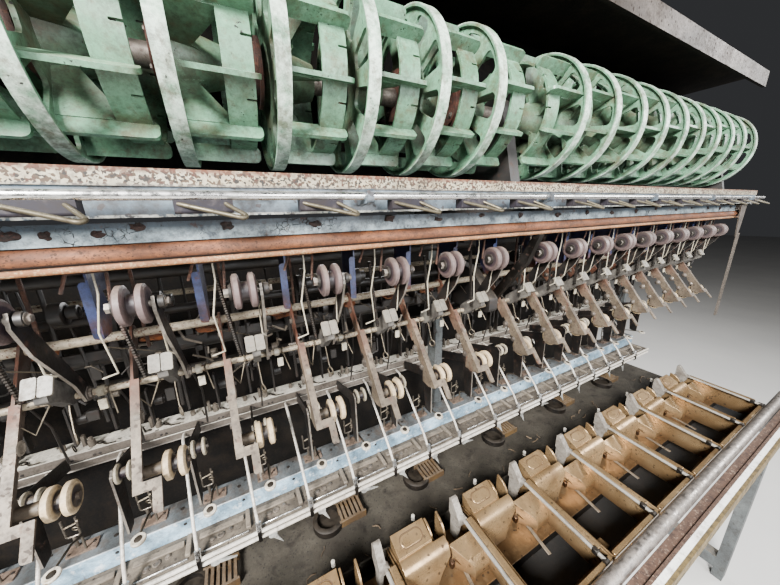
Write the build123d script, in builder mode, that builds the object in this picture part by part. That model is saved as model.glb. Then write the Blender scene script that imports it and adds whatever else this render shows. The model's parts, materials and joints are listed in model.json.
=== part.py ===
from build123d import *
import math
import os

os.makedirs("parts", exist_ok=True)

# One bay of a silk reeling machine. X runs along the machine, Y goes in from the front, Z is up.
# The origin is on the floor, under the middle of the bay.

# Driving sizes of the bay
rear_face = 353.0
front_face = -353.0
pitch = 100.0
first_station = 67.0
ends_per_side = 10
end_margin = 67.0
half_stations = [first_station + pitch * number for number in range(ends_per_side)]
stations = [-x for x in reversed(half_stations)] + half_stations
half_length = half_stations[-1] + end_margin

running_gap = 0.05
wall = 3.0

# Frame members
end_plate = 16.0
middle_plate = 24.0
post_width = 56.0
post_front = 280.0
stanchion_front = 173.0
stanchion_back = 210.0
table_top = 707.0
table_depth = 47.0
sill_low = 40.0
sill_high = 90.0
member_width = 40.0
leg_front = -322.0
leg_back = -292.0

# Reels and their shaft
reel_y = 15.0
reel_z = 1572.0
reel_radius = 111.5
rim_width = 15.0
rim_thickness = 4.0
reel_length = 87.5
ring_from_station = 44.5
fin_outer = 103.5
fin_inner = 84.0
fin_thickness = 4.6
fin_count = 10
web_start = 5.0
web_thickness = 4.0
band_start = 53.5
band_end = 82.5
band_thickness = 4.0
shaft_radius = 12.5

# Rails in front of the reels
hood_bottom = 1782.0
hood_front = -75.0
hood_lip_bottom = 1744.0
panel_y = 140.0
bracket_bottom = 1330.0
bracket_top = 1426.0
nose_y = -116.0
rail_front = -120.0
rail_top = 1440.0
traverse_y = -140.0
traverse_z = 1417.6
traverse_radius = 4.0
lower_rail_front = -95.0
lower_rail_back = 60.0
lower_rail_z = 1379.0
lower_rail_top = 1397.0
pipe_y = -90.0
pipe_radius = 8.0
pipe_joint_radius = 8.6
pipe_lip_radius = 3.6
pipe_lip_drop = 11.0
pipe_z = lower_rail_z - pipe_joint_radius - 0.1

# Rows of wheels: centre and flange radius
upper_wheel = (-73.0, 1317.5)
lower_wheel = (-61.0, 1115.0)
small_wheel = (89.0, 1016.0)
upper_flange_radius = 20.5
lower_flange_radius = 17.0
small_flange_radius = 15.0
axle_radius = 4.0

# Cross rods
cream_rod = (1.0, 1201.0)
cream_radius = 4.0
bracket_rod = (39.0, 1254.0)
bracket_rod_radius = 6.0
back_shaft = (150.0, 1279.5)
back_shaft_radius = 5.0

# Table members
beam_front = stanchion_back
beam_back = 252.0
beam_bottom = 961.0
beam_top = 995.0
bar_front = 122.0
bar_bottom = 810.0
bar_top = 848.0
front_rod_y = 61.5
front_rod_radius = 3.8
front_rod_z = 802.2
front_rod_spacing = 13.0
tray_front = front_rod_y + front_rod_radius + 0.1
basin_front = -49.0
basin_back = 160.0
basin_rim = table_top + 43

# Cocoon feeders
feeder_pitch = 172.3
feeder_count = 11
first_cap = -841.2
feeder_floor = table_top + 38
cap_y = -107.0
cap_z = 814.0
feeder_edge_y = -288.0
feeder_edge_z = 800.0
caps = [first_cap + feeder_pitch * number for number in range(feeder_count)]

tube_y = -302.0
tube_z = 800.0
tube_radius = 12.0


def yz(x):
    """Plane across the machine at x, whose own axes are Y and Z."""
    return Plane.YZ.offset(x)


def profile(points, x_low, x_high):
    """Straight member along X with a closed outline of (y, z) points."""
    with BuildPart() as member:
        with BuildSketch(yz(x_low)):
            with BuildLine():
                Polyline(*points, close=True)
            make_face()
        extrude(amount=x_high - x_low)
    return member.part


def block(x_low, x_high, y_low, y_high, z_low, z_high):
    """Straight member with a rectangular section."""
    outline = [(y_low, z_low), (y_high, z_low), (y_high, z_high), (y_low, z_high)]
    return profile(outline, x_low, x_high)


def rod(centre, radius, x_low, x_high):
    """Round bar along X."""
    with BuildPart() as bar:
        with BuildSketch(yz(x_low)):
            with Locations(centre):
                Circle(radius)
        extrude(amount=x_high - x_low)
    return bar.part


def wire(points, radius, bend):
    """Round wire along a bent route."""
    with BuildPart() as bent:
        with BuildLine() as route:
            FilletPolyline(*points, radius=bend)
        with BuildSketch(Plane(origin=route.line @ 0, z_dir=route.line % 0)):
            Circle(radius)
        sweep(path=route.line)
    return bent.part


def row(places, *pieces):
    """Copies of the pieces, moved along X, as separate solids of one node."""
    return Compound(children=[piece.moved(Location((x, 0, 0))) for x in places for piece in pieces])


def keep(name, shape):
    """Labels a finished piece and writes it."""
    shape.label = name
    export_step(shape, f"parts/{name}.step")


# Frame: where its three cross frames stand, and how thick the castings are there
frame_spans = [
    (-half_length, -half_length + end_plate),
    (-middle_plate / 2, middle_plate / 2),
    (half_length - end_plate, half_length),
]


def widened(span, width):
    """The span made as wide as a hollow section, inwards at the machine's ends."""
    low, high = span
    if low == -half_length:
        return low, low + width
    if high == half_length:
        return high - width, high
    return -width / 2, width / 2


posts = []
for span in frame_spans:
    low, high = widened(span, post_width)
    posts.append(block(low, high, post_front, rear_face, 0, hood_bottom))
    posts.append(block(*span, stanchion_front, stanchion_back, table_top, bracket_bottom))
keep("frame_posts", Compound(children=posts))

table_members = []
for span in frame_spans:
    low, high = widened(span, member_width)
    table_members.append(block(low, high, leg_front, leg_back, 0, tube_z - tube_radius))
    table_members.append(block(low, high, leg_back, post_front, sill_low, sill_high))
    table_members.append(block(low, high, leg_back, post_front, table_top - table_depth, table_top))
keep("table_frame", Compound(children=table_members))

# Cast reel bracket: an arm with a nose under the rails, and a pedestal on it with the shaft's boss
boss_radius = 28.0
pedestal_base = 62.0
nose_top = rail_top - 4
pedestal_foot = [(reel_y - pedestal_base, nose_top), (reel_y + pedestal_base, bracket_top)]


def bracket_arm(span):
    outline = [
        (post_front, bracket_bottom),
        (lower_rail_back + 15, bracket_bottom),
        (lower_rail_back, lower_rail_z + wall),
        (lower_rail_front + wall, lower_rail_z + wall),
        (lower_rail_front + wall, lower_rail_top),
        (nose_y, lower_rail_top),
        (nose_y, nose_top),
        *pedestal_foot,
        (post_front, bracket_top),
    ]
    return profile(outline, *span)


def bracket_pedestal(span):
    low, high = span
    with BuildPart() as pedestal:
        with BuildSketch(yz(low)):
            with BuildLine():
                Polyline(
                    *pedestal_foot,
                    (reel_y + boss_radius, reel_z),
                    (reel_y - boss_radius, reel_z),
                    close=True,
                )
            make_face()
            with Locations((reel_y, reel_z)):
                Circle(boss_radius)
                Circle(shaft_radius + running_gap, mode=Mode.SUBTRACT)
        extrude(amount=high - low)
    return pedestal.part


reel_bracket_pieces = [bracket_arm(span) for span in frame_spans] + [bracket_pedestal(span) for span in frame_spans]
keep("reel_brackets", Compound(children=reel_bracket_pieces))


def rod_arm(span):
    """Tapered plate in front of a stanchion, bored for the three cross rods."""
    low, high = span
    with BuildPart() as arm:
        with BuildSketch(yz(low)):
            with BuildLine():
                FilletPolyline(
                    (stanchion_front, 1178),
                    (stanchion_front, 1299),
                    (48, 1274),
                    (-13, 1216),
                    (-13, 1187),
                    radius=(0, 0, 10, 8, 8),
                    close=True,
                )
            make_face()
            with Locations(cream_rod):
                Circle(cream_radius + running_gap, mode=Mode.SUBTRACT)
            with Locations(bracket_rod):
                Circle(bracket_rod_radius + running_gap, mode=Mode.SUBTRACT)
            with Locations(back_shaft):
                Circle(back_shaft_radius + running_gap, mode=Mode.SUBTRACT)
        extrude(amount=high - low)
    return arm.part


keep("rod_arms", Compound(children=[rod_arm(span) for span in frame_spans]))

# Hood: a folded sheet with a deep steel lip along its front edge
hood_sheet = [
    (hood_front, hood_lip_bottom),
    (hood_front + 8, hood_lip_bottom),
    (hood_front + 8, hood_bottom),
    (rear_face, hood_bottom),
    (rear_face, hood_bottom + wall),
    (hood_front, hood_bottom + wall),
]
keep("hood", profile(hood_sheet, -half_length, half_length))
upper_panel = block(-half_length, half_length, panel_y, panel_y + wall, bracket_top, hood_bottom)
lower_panel = block(-half_length, half_length, post_front - wall, post_front, table_top, bracket_bottom)
keep("back_panel", Compound(children=[upper_panel, lower_panel]))

# Reel, cast in one piece: its axis is X, its rim starts at x = 0 and its fins run to reel_length
hub_root = 34.0
hub_tip = 21.0
hub_end = 62.0
window_inner = 58.0
window_outer = 100.0
window_half_angle = 10.5
arm_count = 5
arm_width = 7.0
notch_width = 2.4
notch_depth = 8.0
window_corner = 8.0
fin_corner = 7.0


def turns(count, first=0.0):
    """Places round the X axis, one for each of count equal turns."""
    return [Rotation(first + 360 / count * number, 0, 0) for number in range(count)]


# Rounded window of the web, pointing along Y, half a fin's turn away from the fins
with BuildSketch() as window:
    with BuildLine():
        spread = math.radians(window_half_angle)
        inner_high = (window_inner * math.cos(spread), window_inner * math.sin(spread))
        outer_high = (window_outer * math.cos(spread), window_outer * math.sin(spread))
        inner_low = (inner_high[0], -inner_high[1])
        outer_low = (outer_high[0], -outer_high[1])
        Line(inner_low, outer_low)
        ThreePointArc(outer_low, (window_outer, 0), outer_high)
        Line(outer_high, inner_high)
        ThreePointArc(inner_high, (window_inner, 0), inner_low)
    make_face()
    fillet(window.vertices(), window_corner)

# Fin with a rounded free end
with BuildPart() as fin:
    with BuildSketch(Plane.XZ.offset(-fin_thickness / 2)) as fin_face:
        with Locations(((web_start + reel_length) / 2, (fin_inner + fin_outer) / 2)):
            Rectangle(reel_length - web_start, fin_outer - fin_inner)
        fillet(fin_face.vertices().group_by(Axis.X)[-1], fin_corner)
    extrude(amount=fin_thickness)

# Flat arm from the hub out to a fin and along the band
with BuildPart() as hub_arm:
    with BuildSketch(Plane.XZ.offset(-arm_width / 2)) as arm_face:
        with BuildLine():
            Polyline(
                (web_start, hub_tip),
                (web_start, fin_inner + band_thickness - 1),
                (band_start, fin_inner + band_thickness - 1),
                (band_start, fin_inner - 12),
                (web_start + 24, hub_root - 2),
                (hub_end - 8, hub_tip - 4),
                close=True,
            )
        make_face()
    extrude(amount=arm_width)

# Round-ended notch at the band's free edge
with BuildPart() as notch:
    with BuildSketch(Plane.XY.offset(fin_inner - 2)):
        with Locations((band_end - notch_depth / 2 + 1, 0)):
            SlotOverall(notch_depth + 6, notch_width)
    extrude(amount=band_thickness + 4)

with BuildPart() as reel:
    with BuildSketch(yz(0)):
        Circle(reel_radius)
        Circle(reel_radius - rim_thickness, mode=Mode.SUBTRACT)
    extrude(amount=rim_width)
    with BuildSketch(yz(web_start)):
        Circle(reel_radius - rim_thickness / 2)
    extrude(amount=web_thickness)
    with BuildSketch(Plane.XY) as hub_section:
        with BuildLine():
            Polyline(
                (0, 0),
                (0, hub_root - 6),
                (web_start, hub_root),
                (web_start + web_thickness, hub_root),
                (hub_end, hub_tip),
                (hub_end, 0),
                close=True,
            )
        make_face()
    revolve(axis=Axis.X)
    # Windows in the web, one between each two fins
    with BuildSketch(yz(web_start)):
        with PolarLocations(0, fin_count):
            add(window.sketch)
    extrude(amount=web_thickness, mode=Mode.SUBTRACT)
    with Locations(*turns(fin_count)):
        add(fin.part)
    with Locations(*turns(arm_count)):
        add(hub_arm.part)
    # Inner band, notched once in each segment
    with BuildSketch(yz(band_start)):
        Circle(fin_inner + band_thickness)
        Circle(fin_inner, mode=Mode.SUBTRACT)
    extrude(amount=band_end - band_start)
    with Locations(*turns(fin_count, 180 / fin_count - 3)):
        add(notch.part, mode=Mode.SUBTRACT)
    with BuildSketch(yz(0)):
        Circle(shaft_radius + running_gap)
    extrude(amount=reel_length, mode=Mode.SUBTRACT)

mirrored_reel = reel.part.mirror(Plane.YZ)
for number, station in enumerate(stations):
    turn = (number * 137.5) % (360 / fin_count)
    if station < 0:
        hand = reel.part
        start = station - ring_from_station
    else:
        hand = mirrored_reel
        start = station + ring_from_station
    placed = Location((start, reel_y, reel_z)) * Rotation(turn, 0, 0) * hand
    keep(f"reel_{number + 1:02d}", placed)

keep("reel_shaft", rod((reel_y, reel_z), shaft_radius, -half_length, half_length))

# Friction discs: a brown disc with a bolted plate on the shaft beside each reel
disc_radius = 38.0
disc_thickness = 4.0
plate_radius = 32.0
disc_gap = pitch - reel_length
with BuildPart() as disc:
    with BuildSketch(yz(0)):
        Circle(disc_radius)
        Circle(shaft_radius + running_gap, mode=Mode.SUBTRACT)
    extrude(amount=disc_thickness)
    with BuildSketch(yz(-disc_thickness)):
        Circle(plate_radius)
        Circle(shaft_radius + running_gap, mode=Mode.SUBTRACT)
    extrude(amount=disc_thickness)
disc_offset = ring_from_station + disc_gap / 2
left_discs = [disc.part.moved(Location((x - disc_offset, reel_y, reel_z))) for x in stations if x < 0][1:]
mirrored_disc = disc.part.mirror(Plane.YZ)
right_discs = [mirrored_disc.moved(Location((x + disc_offset, reel_y, reel_z))) for x in stations if x > 0][:-1]
keep("friction_discs", Compound(children=left_discs + right_discs))

# Cream rail under the reels, an angle over the bracket noses
reel_rail = [
    (rail_front, bracket_top),
    (rail_front, rail_top),
    (rail_front + 26, rail_top),
    (rail_front + 26, rail_top - 4),
    (nose_y, rail_top - 4),
    (nose_y, bracket_top),
]
keep("reel_rail", profile(reel_rail, -half_length, half_length))

# Guide panel: a strip with lugs that carry the traverse rod
panel_front = -118.0
lug_width = 8.0
lug_after_station = 23.0
lug_front = -147.0
with BuildPart() as guide_panel:
    with BuildSketch(yz(-half_length)):
        with Locations(((panel_front + nose_y) / 2, (lower_rail_top + 4 + bracket_top) / 2)):
            Rectangle(nose_y - panel_front, bracket_top - lower_rail_top - 4)
    extrude(amount=2 * half_length)
    for station in stations[::3]:
        with BuildSketch(yz(station + lug_after_station)) as lug:
            with BuildLine():
                FilletPolyline(
                    (nose_y, 1408),
                    (lug_front, 1410.6),
                    (lug_front, 1424.6),
                    (nose_y, 1424.6),
                    radius=(0, 3, 3, 0),
                    close=True,
                )
            make_face()
            with Locations((traverse_y, traverse_z)):
                Circle(traverse_radius + running_gap, mode=Mode.SUBTRACT)
        extrude(amount=lug_width)
keep("guide_panel", guide_panel.part)

traverse_end = half_length - 21
keep("traverse_rod", rod((traverse_y, traverse_z), traverse_radius, -traverse_end, traverse_end))

# Thread guide: a bent wire in a clamp block that hangs behind and below the traverse rod
guide_wire = 1.8
clamp_high = -2.0
clamp_width = 43.0
clamp_depth = 12.0
clamp_height = 13.0
clamp_y = traverse_y + 4
clamp_top = traverse_z - 1.6
wire_y = clamp_y - 5
wire_z = clamp_top - 5
with BuildPart() as guide_hook:
    with BuildSketch(yz(clamp_high - clamp_width)) as clamp:
        with Locations((clamp_y, clamp_top - clamp_height / 2)):
            Rectangle(clamp_depth, clamp_height)
        fillet(clamp.vertices(), 2.5)
        with Locations((traverse_y, traverse_z)):
            Circle(traverse_radius + running_gap, mode=Mode.SUBTRACT)
    extrude(amount=clamp_width)
    with BuildLine() as hook_route:
        FilletPolyline(
            (clamp_high - clamp_width + 3, wire_y, wire_z),
            (13, wire_y - 27, wire_z - 15),
            (clamp_high - 6, wire_y, wire_z),
            radius=3,
        )
    with BuildSketch(Plane(origin=hook_route.line @ 0, z_dir=hook_route.line % 0)):
        Circle(guide_wire)
    sweep(path=hook_route.line)
keep("guide_hooks", row(stations, guide_hook.part))

# Pale blue rail whose web runs back over the wheels
lower_rail = [
    (lower_rail_front, lower_rail_z),
    (lower_rail_back, lower_rail_z),
    (lower_rail_back, lower_rail_z + wall),
    (lower_rail_front + wall, lower_rail_z + wall),
    (lower_rail_front + wall, lower_rail_top),
    (lower_rail_front, lower_rail_top),
]
keep("lower_rail", profile(lower_rail, -half_length, half_length))

# Rusty pipe with its joints and the thin pipe welded below it
joint_length = 60.0
with BuildPart() as rail_pipe:
    with BuildSketch(yz(-half_length)):
        with Locations((pipe_y, pipe_z)):
            Circle(pipe_radius)
        with Locations((pipe_y, pipe_z - pipe_lip_drop)):
            Circle(pipe_lip_radius)
    extrude(amount=2 * half_length)
    for start in (-half_length, -joint_length / 2, half_length - joint_length):
        with BuildSketch(yz(start)):
            with Locations((pipe_y, pipe_z)):
                Circle(pipe_joint_radius)
        extrude(amount=joint_length)
keep("rail_pipe", rail_pipe.part)

# Bent arm from the pipe's middle joint down to the cream rod
arm_seat = pipe_z - pipe_lip_drop - pipe_lip_radius
pipe_arm = [
    (pipe_y - 7, arm_seat),
    (pipe_y + 7, arm_seat),
    (-57, 1306),
    (9, 1221),
    (cream_rod[0], cream_rod[1] + cream_radius + 0.2),
    (-8, 1216),
    (-74, 1301),
]
keep("pipe_arm", profile(pipe_arm, middle_plate / 2, middle_plate / 2 + 12))

# Folded plate on the lower rail with a twin strap hanging from it
strap_x = half_length - 22
strap_width = 5.0
strap_length = 288.0
fold_low = lower_rail_z - 83
plate_offset = 9.0
with BuildPart() as hanging_strap:
    with BuildSketch(Plane.XZ.offset(-lower_rail_front)):
        with Locations((strap_x - 8, (lower_rail_z + lower_rail_top) / 2 + 1)):
            Rectangle(52, lower_rail_top - lower_rail_z - 2)
    extrude(amount=plate_offset)
    with BuildSketch(Plane.XZ.offset(-lower_rail_front + plate_offset)):
        with BuildLine():
            Polyline(
                (strap_x - 34, lower_rail_top),
                (strap_x + 18, lower_rail_top),
                (strap_x + 12, fold_low + 34),
                (strap_x + 4, fold_low),
                (strap_x - 8, fold_low),
                close=True,
            )
        make_face()
    extrude(amount=wall)
    with BuildSketch(Plane.XZ.offset(-lower_rail_front + plate_offset + wall)):
        strap_middle = fold_low + 11 - strap_length / 2
        with Locations((strap_x - 8, strap_middle), (strap_x + 4, strap_middle)):
            SlotOverall(strap_length, strap_width, rotation=90)
        with Locations((strap_x - 2, fold_low + 2), (strap_x - 2, fold_low + 22 - strap_length)):
            Rectangle(14, 8)
    extrude(amount=4)
keep("hanging_strap", hanging_strap.part)

# Partition plates: folded sheet with a narrow front flange on its lower part
partition_x = 52.0
partition_front = -24.0
partition_back = 30.0
partition_bottom = 1272.0
partition_flange = 9.0
flange_top = 1337.0
sheet = 2.0
with BuildPart() as partition:
    with BuildSketch(yz(-sheet)):
        with BuildLine():
            Polyline(
                (partition_front, partition_bottom),
                (partition_front, lower_rail_z),
                (partition_back, lower_rail_z),
                (partition_back, partition_bottom + 40),
                (partition_back - 30, partition_bottom),
                close=True,
            )
        make_face()
    extrude(amount=sheet)
    with BuildSketch(Plane.XZ.offset(-partition_front)) as front_flange:
        with Locations((-partition_flange / 2, (partition_bottom + flange_top) / 2)):
            Rectangle(partition_flange, flange_top - partition_bottom)
        fillet(front_flange.vertices().group_by(Axis.X)[0], 4)
    extrude(amount=-sheet)
keep("partition_plates", row([x + partition_x for x in stations], partition.part))


def spool(centre, radius, groove_radius, x_low, width, flange, bore):
    """Two-flanged wheel on an axis along X."""
    y, z = centre
    lip = radius - 3
    with BuildPart() as wheel:
        with BuildSketch(Plane.XY):
            with BuildLine():
                Polyline(
                    (x_low, bore),
                    (x_low, lip),
                    (x_low + 2, radius),
                    (x_low + flange - 1.5, radius),
                    (x_low + flange, lip),
                    (x_low + flange + 1, groove_radius),
                    (x_low + width - flange - 1, groove_radius),
                    (x_low + width - flange, lip),
                    (x_low + width - flange + 1.5, radius),
                    (x_low + width - 2, radius),
                    (x_low + width, lip),
                    (x_low + width, bore),
                    close=True,
                )
            make_face()
        revolve(axis=Axis.X)
    return wheel.part.moved(Location((0, y, z)))


upper_wheel_x = -15.5
upper_wheel_width = 25.0
lower_wheel_width = 23.0
lower_wheel_x = {-1: -17.0, 1: -35.0}
small_wheel_x = -21.0
small_wheel_width = 22.0
wheel_bore = axle_radius + running_gap
upper_spool = spool(upper_wheel, upper_flange_radius, 11, upper_wheel_x, upper_wheel_width, 8, wheel_bore)
small_spool = spool(small_wheel, small_flange_radius, 8, small_wheel_x, small_wheel_width, 6, wheel_bore)
lower_spools = {
    side: spool(lower_wheel, lower_flange_radius, 9, start, lower_wheel_width, 8, wheel_bore)
    for side, start in lower_wheel_x.items()
}


def side_of(station):
    return -1 if station < 0 else 1


lower_wheels = [lower_spools[side_of(x)].moved(Location((x, 0, 0))) for x in stations]
keep("upper_wheels", row(stations, upper_spool))
keep("lower_wheels", Compound(children=lower_wheels))
keep("small_wheels", row(stations, small_spool))

# Strap from the cream rod up to an upper wheel's stub axle, and the arm of a small wheel
arm_thickness = 3.0
arm_low = bar_top + 56
axle_head = 6.0
strap_place = upper_wheel_x + upper_wheel_width + 3
with BuildPart() as upper_arm:
    with BuildSketch(yz(strap_place)) as strap:
        with BuildLine():
            Polyline(
                (cream_rod[0] + 8, cream_rod[1] + 4),
                (upper_wheel[0] + 10, upper_wheel[1] - 4),
                (upper_wheel[0] - 6, upper_wheel[1] + 8),
                (upper_wheel[0] - 9, upper_wheel[1] - 6),
                (upper_wheel[0] + 6, upper_wheel[1] - 38),
                (cream_rod[0] - 20, cream_rod[1] + 20),
                (cream_rod[0] - 8, cream_rod[1] - 6),
                close=True,
            )
        make_face()
        with Locations(cream_rod):
            Circle(9)
            Circle(cream_radius + running_gap, mode=Mode.SUBTRACT)
        with Locations(upper_wheel):
            Circle(8)
    extrude(amount=arm_thickness)
    with BuildSketch(yz(upper_wheel_x - 3)):
        with Locations(upper_wheel):
            Circle(axle_radius)
    extrude(amount=strap_place - upper_wheel_x + 3)
    with BuildSketch(yz(upper_wheel_x - 3 - axle_head)):
        with Locations(upper_wheel):
            RegularPolygon(5.5, 6)
    extrude(amount=axle_head)
with BuildPart() as small_arm:
    with BuildSketch(yz(small_wheel_x - 2 - arm_thickness)):
        with BuildLine():
            FilletPolyline(
                (beam_front, beam_bottom + 6),
                (beam_front, beam_top - 4),
                (small_wheel[0] + 2, small_wheel[1] + 10),
                (small_wheel[0] - 9, small_wheel[1] + 2),
                (small_wheel[0] - 9, arm_low),
                (small_wheel[0] + 15, arm_low),
                (small_wheel[0] + 26, small_wheel[1] - 22),
                radius=(0, 0, 4, 4, 3, 5, 8),
                close=True,
            )
        make_face()
    extrude(amount=arm_thickness)
    with BuildSketch(yz(small_wheel_x - 2)):
        with Locations(small_wheel):
            Circle(axle_radius)
    extrude(amount=small_wheel_width + 5)
keep("wheel_arms", row(stations, upper_arm.part, small_arm.part))

# Cross rods: the cream rod, the rusty bracket rod above it and the shaft behind
keep(
    "cross_rods",
    Compound(
        children=[
            rod(cream_rod, cream_radius, -half_length, half_length),
            rod(bracket_rod, bracket_rod_radius, -half_length, half_length),
            rod(back_shaft, back_shaft_radius, -half_length, half_length),
        ]
    ),
)

# Thread guide: a curved grey body on the cream rod with two ceramic tags
guide_width = 10.0
tag_width = 11.0
tag_height = 21.0
guide_x = strap_place - tag_width - 2 - guide_width / 2
tag_plane = Plane(origin=(guide_x + guide_width / 2, -44, 1239), x_dir=(1, 0, 0), z_dir=(0, -0.8, 0.6))
with BuildPart() as thread_guide:
    with BuildSketch(yz(guide_x)) as guide_body:
        with BuildLine():
            FilletPolyline(
                (cream_rod[0] + 9, cream_rod[1] - 9),
                (cream_rod[0] + 9, cream_rod[1] + 9),
                (-20, 1232),
                (-37, 1248),
                (-47, 1236),
                (-48, 1222),
                (-30, 1212),
                (cream_rod[0] - 9, cream_rod[1] - 6),
                radius=(6, 6, 10, 3, 3, 3, 12, 6),
                close=True,
            )
        make_face()
        with Locations(cream_rod):
            Circle(cream_radius + running_gap, mode=Mode.SUBTRACT)
    extrude(amount=guide_width)
    with BuildSketch(tag_plane) as tags:
        with GridLocations(tag_width + 1, 1, 2, 1):
            Rectangle(tag_width, tag_height)
        fillet(tags.vertices(), 2)
    extrude(amount=3)
    with BuildSketch(tag_plane):
        Rectangle(2 * tag_width, 8)
    extrude(amount=-3)
keep("thread_guides", row(stations, thread_guide.part))

# Bent bracket from the upper rod down to a lower wheel: a slotted side, a narrow front, a foot and its tab
bracket_x = -42.0
bracket_sheet = 3.0
bracket_front = 9.0
foot_length = 26.0
foot_height = 11.0
tab_length = 24.0
front_low = (lower_wheel[0] - lower_flange_radius - 9, lower_wheel[1] - 5)
front_high = (bracket_rod[0] - 8, bracket_rod[1] + 7)
front_run = math.dist(front_low, front_high)
up_y = (front_high[0] - front_low[0]) / front_run
up_z = (front_high[1] - front_low[1]) / front_run
front_plane = Plane(origin=(bracket_x, *front_low), x_dir=(1, 0, 0), z_dir=(0, -up_z, up_y))


def bent_bracket(wheel_x):
    with BuildPart() as bracket:
        with BuildSketch(yz(bracket_x)):
            with BuildLine():
                Polyline(
                    (bracket_rod[0] + 8, bracket_rod[1] - 6),
                    front_high,
                    front_low,
                    (lower_wheel[0] - 10, lower_wheel[1] - 10),
                    (lower_wheel[0] + 8, lower_wheel[1] - 8),
                    (lower_wheel[0] + 8, lower_wheel[1] + 14),
                    close=True,
                )
            make_face()
            with Locations(bracket_rod):
                Circle(11)
                Circle(bracket_rod_radius + running_gap, mode=Mode.SUBTRACT)
            with Locations(cream_rod):
                Circle(cream_radius + running_gap, mode=Mode.SUBTRACT)
            with Locations((-28, 1160)):
                SlotOverall(32, 6, rotation=54, mode=Mode.SUBTRACT)
        extrude(amount=bracket_sheet)
        with BuildSketch(front_plane) as front:
            with Locations((bracket_front / 2, front_run * 0.33)):
                Rectangle(bracket_front, front_run * 0.66)
            with Locations((foot_length / 2, foot_height / 2)):
                Rectangle(foot_length, foot_height)
            with Locations((foot_length - bracket_front / 2, -tab_length / 2)):
                Rectangle(bracket_front, tab_length)
            inner = front.vertices().sort_by_distance(
                (bracket_x + bracket_front, front_low[0] + up_y * foot_height, front_low[1] + up_z * foot_height)
            )[0]
            fillet(inner, 4)
        extrude(amount=bracket_sheet)
        with BuildSketch(yz(bracket_x)):
            with Locations(lower_wheel):
                Circle(axle_radius)
        extrude(amount=wheel_x + lower_wheel_width - bracket_x + 3)
        with BuildSketch(yz(bracket_x + bracket_sheet)):
            with Locations(lower_wheel):
                Circle(7)
        extrude(amount=wheel_x - bracket_x - bracket_sheet - 2)
    return bracket.part


bent_brackets = {side: bent_bracket(start) for side, start in lower_wheel_x.items()}
l_brackets = [bent_brackets[side_of(x)].moved(Location((x, 0, 0))) for x in stations]
keep("l_brackets", Compound(children=l_brackets))

# Beam behind the small wheels, with the groove of its front face
groove_z = 978.0
beam_outline = [
    (beam_front, beam_bottom),
    (beam_back, beam_bottom),
    (beam_back, beam_top),
    (beam_front, beam_top),
    (beam_front, groove_z + 1.5),
    (beam_front + 2, groove_z + 1.5),
    (beam_front + 2, groove_z - 1.5),
    (beam_front, groove_z - 1.5),
]
keep("beam", profile(beam_outline, -half_length, half_length))

# Light blue channel
channel = [
    (bar_front, bar_bottom),
    (bar_front, bar_top),
    (stanchion_front, bar_top),
    (stanchion_front, bar_bottom),
    (stanchion_front - wall, bar_bottom),
    (stanchion_front - wall, bar_top - wall),
    (bar_front + wall, bar_top - wall),
    (bar_front + wall, bar_bottom),
]
keep("blue_bar", profile(channel, -half_length, half_length))

# Wire stirrup and its post on a brown plate on top of the channel
stirrup_wire = 1.6
stirrup_x = -22.0
stirrup_y = 155.0
foot_width = 40.0
foot_depth = 22.0
stirrup_bottom = bar_top + 27
stirrup_top = 912.0
stirrup_width = 18.0
post_radius = 2.6
with BuildPart() as stirrup:
    with BuildSketch(Plane.XY.offset(bar_top)) as foot:
        with Locations((stirrup_x + 8, stirrup_y - 5)):
            Rectangle(foot_width, foot_depth)
        fillet(foot.vertices(), 2)
    extrude(amount=wall)
    with BuildSketch(Plane.XY.offset(bar_top + wall)):
        with Locations((stirrup_x, stirrup_y)):
            Circle(post_radius)
    extrude(amount=stirrup_bottom - bar_top - wall)
    with BuildLine() as stirrup_route:
        FilletPolyline(
            (stirrup_x - stirrup_width / 2, stirrup_y, stirrup_top),
            (stirrup_x - stirrup_width / 2, stirrup_y, stirrup_bottom),
            (stirrup_x + stirrup_width / 2, stirrup_y, stirrup_bottom),
            (stirrup_x + stirrup_width / 2, stirrup_y, stirrup_top),
            radius=4,
        )
    with BuildSketch(Plane(origin=stirrup_route.line @ 0, z_dir=stirrup_route.line % 0)):
        Circle(stirrup_wire)
    sweep(path=stirrup_route.line)
keep("stirrups", row(stations, stirrup.part))

# Ceramic ring on a wire arm that reaches forward from the brown plate
ring_x = -10.7
ring_centre = (66.6, 900.3)
ring_outer = 10.5
ring_hole = 4.0
ring_height = 5.5
ring_corner = 1.8
ring_tilt = 10.0
arm_wire = 1.8
with BuildPart() as ceramic_ring:
    with BuildSketch(Plane.XY.offset(-ring_height / 2)):
        Circle(ring_outer)
        Circle(ring_hole, mode=Mode.SUBTRACT)
    extrude(amount=ring_height)
    fillet(ceramic_ring.edges().filter_by(GeomType.CIRCLE).group_by(SortBy.LENGTH)[-1], ring_corner)
ring_part = Location((ring_x, *ring_centre)) * Rotation(ring_tilt, 0, 0) * ceramic_ring.part
arm_foot = (-8.0, 144.0)
ring_arm = wire(
    [
        (ring_x, ring_centre[0] + ring_outer - 2, ring_centre[1] + 1),
        (ring_x + 1, 120, 892),
        (arm_foot[0], arm_foot[1], 880),
        (*arm_foot, bar_top + wall),
    ],
    arm_wire,
    4,
)
with BuildPart() as eyelet_piece:
    add(ring_part)
    add(ring_arm)
keep("eyelets", row(stations, eyelet_piece.part))

# Double rods along the front of the dusty tray
upper_front_rod = (front_rod_y, front_rod_z + front_rod_spacing / 2)
lower_front_rod = (front_rod_y, front_rod_z - front_rod_spacing / 2)
keep(
    "front_rods",
    Compound(
        children=[
            rod(upper_front_rod, front_rod_radius, -half_length, half_length),
            rod(lower_front_rod, front_rod_radius, -half_length, half_length),
        ]
    ),
)

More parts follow.
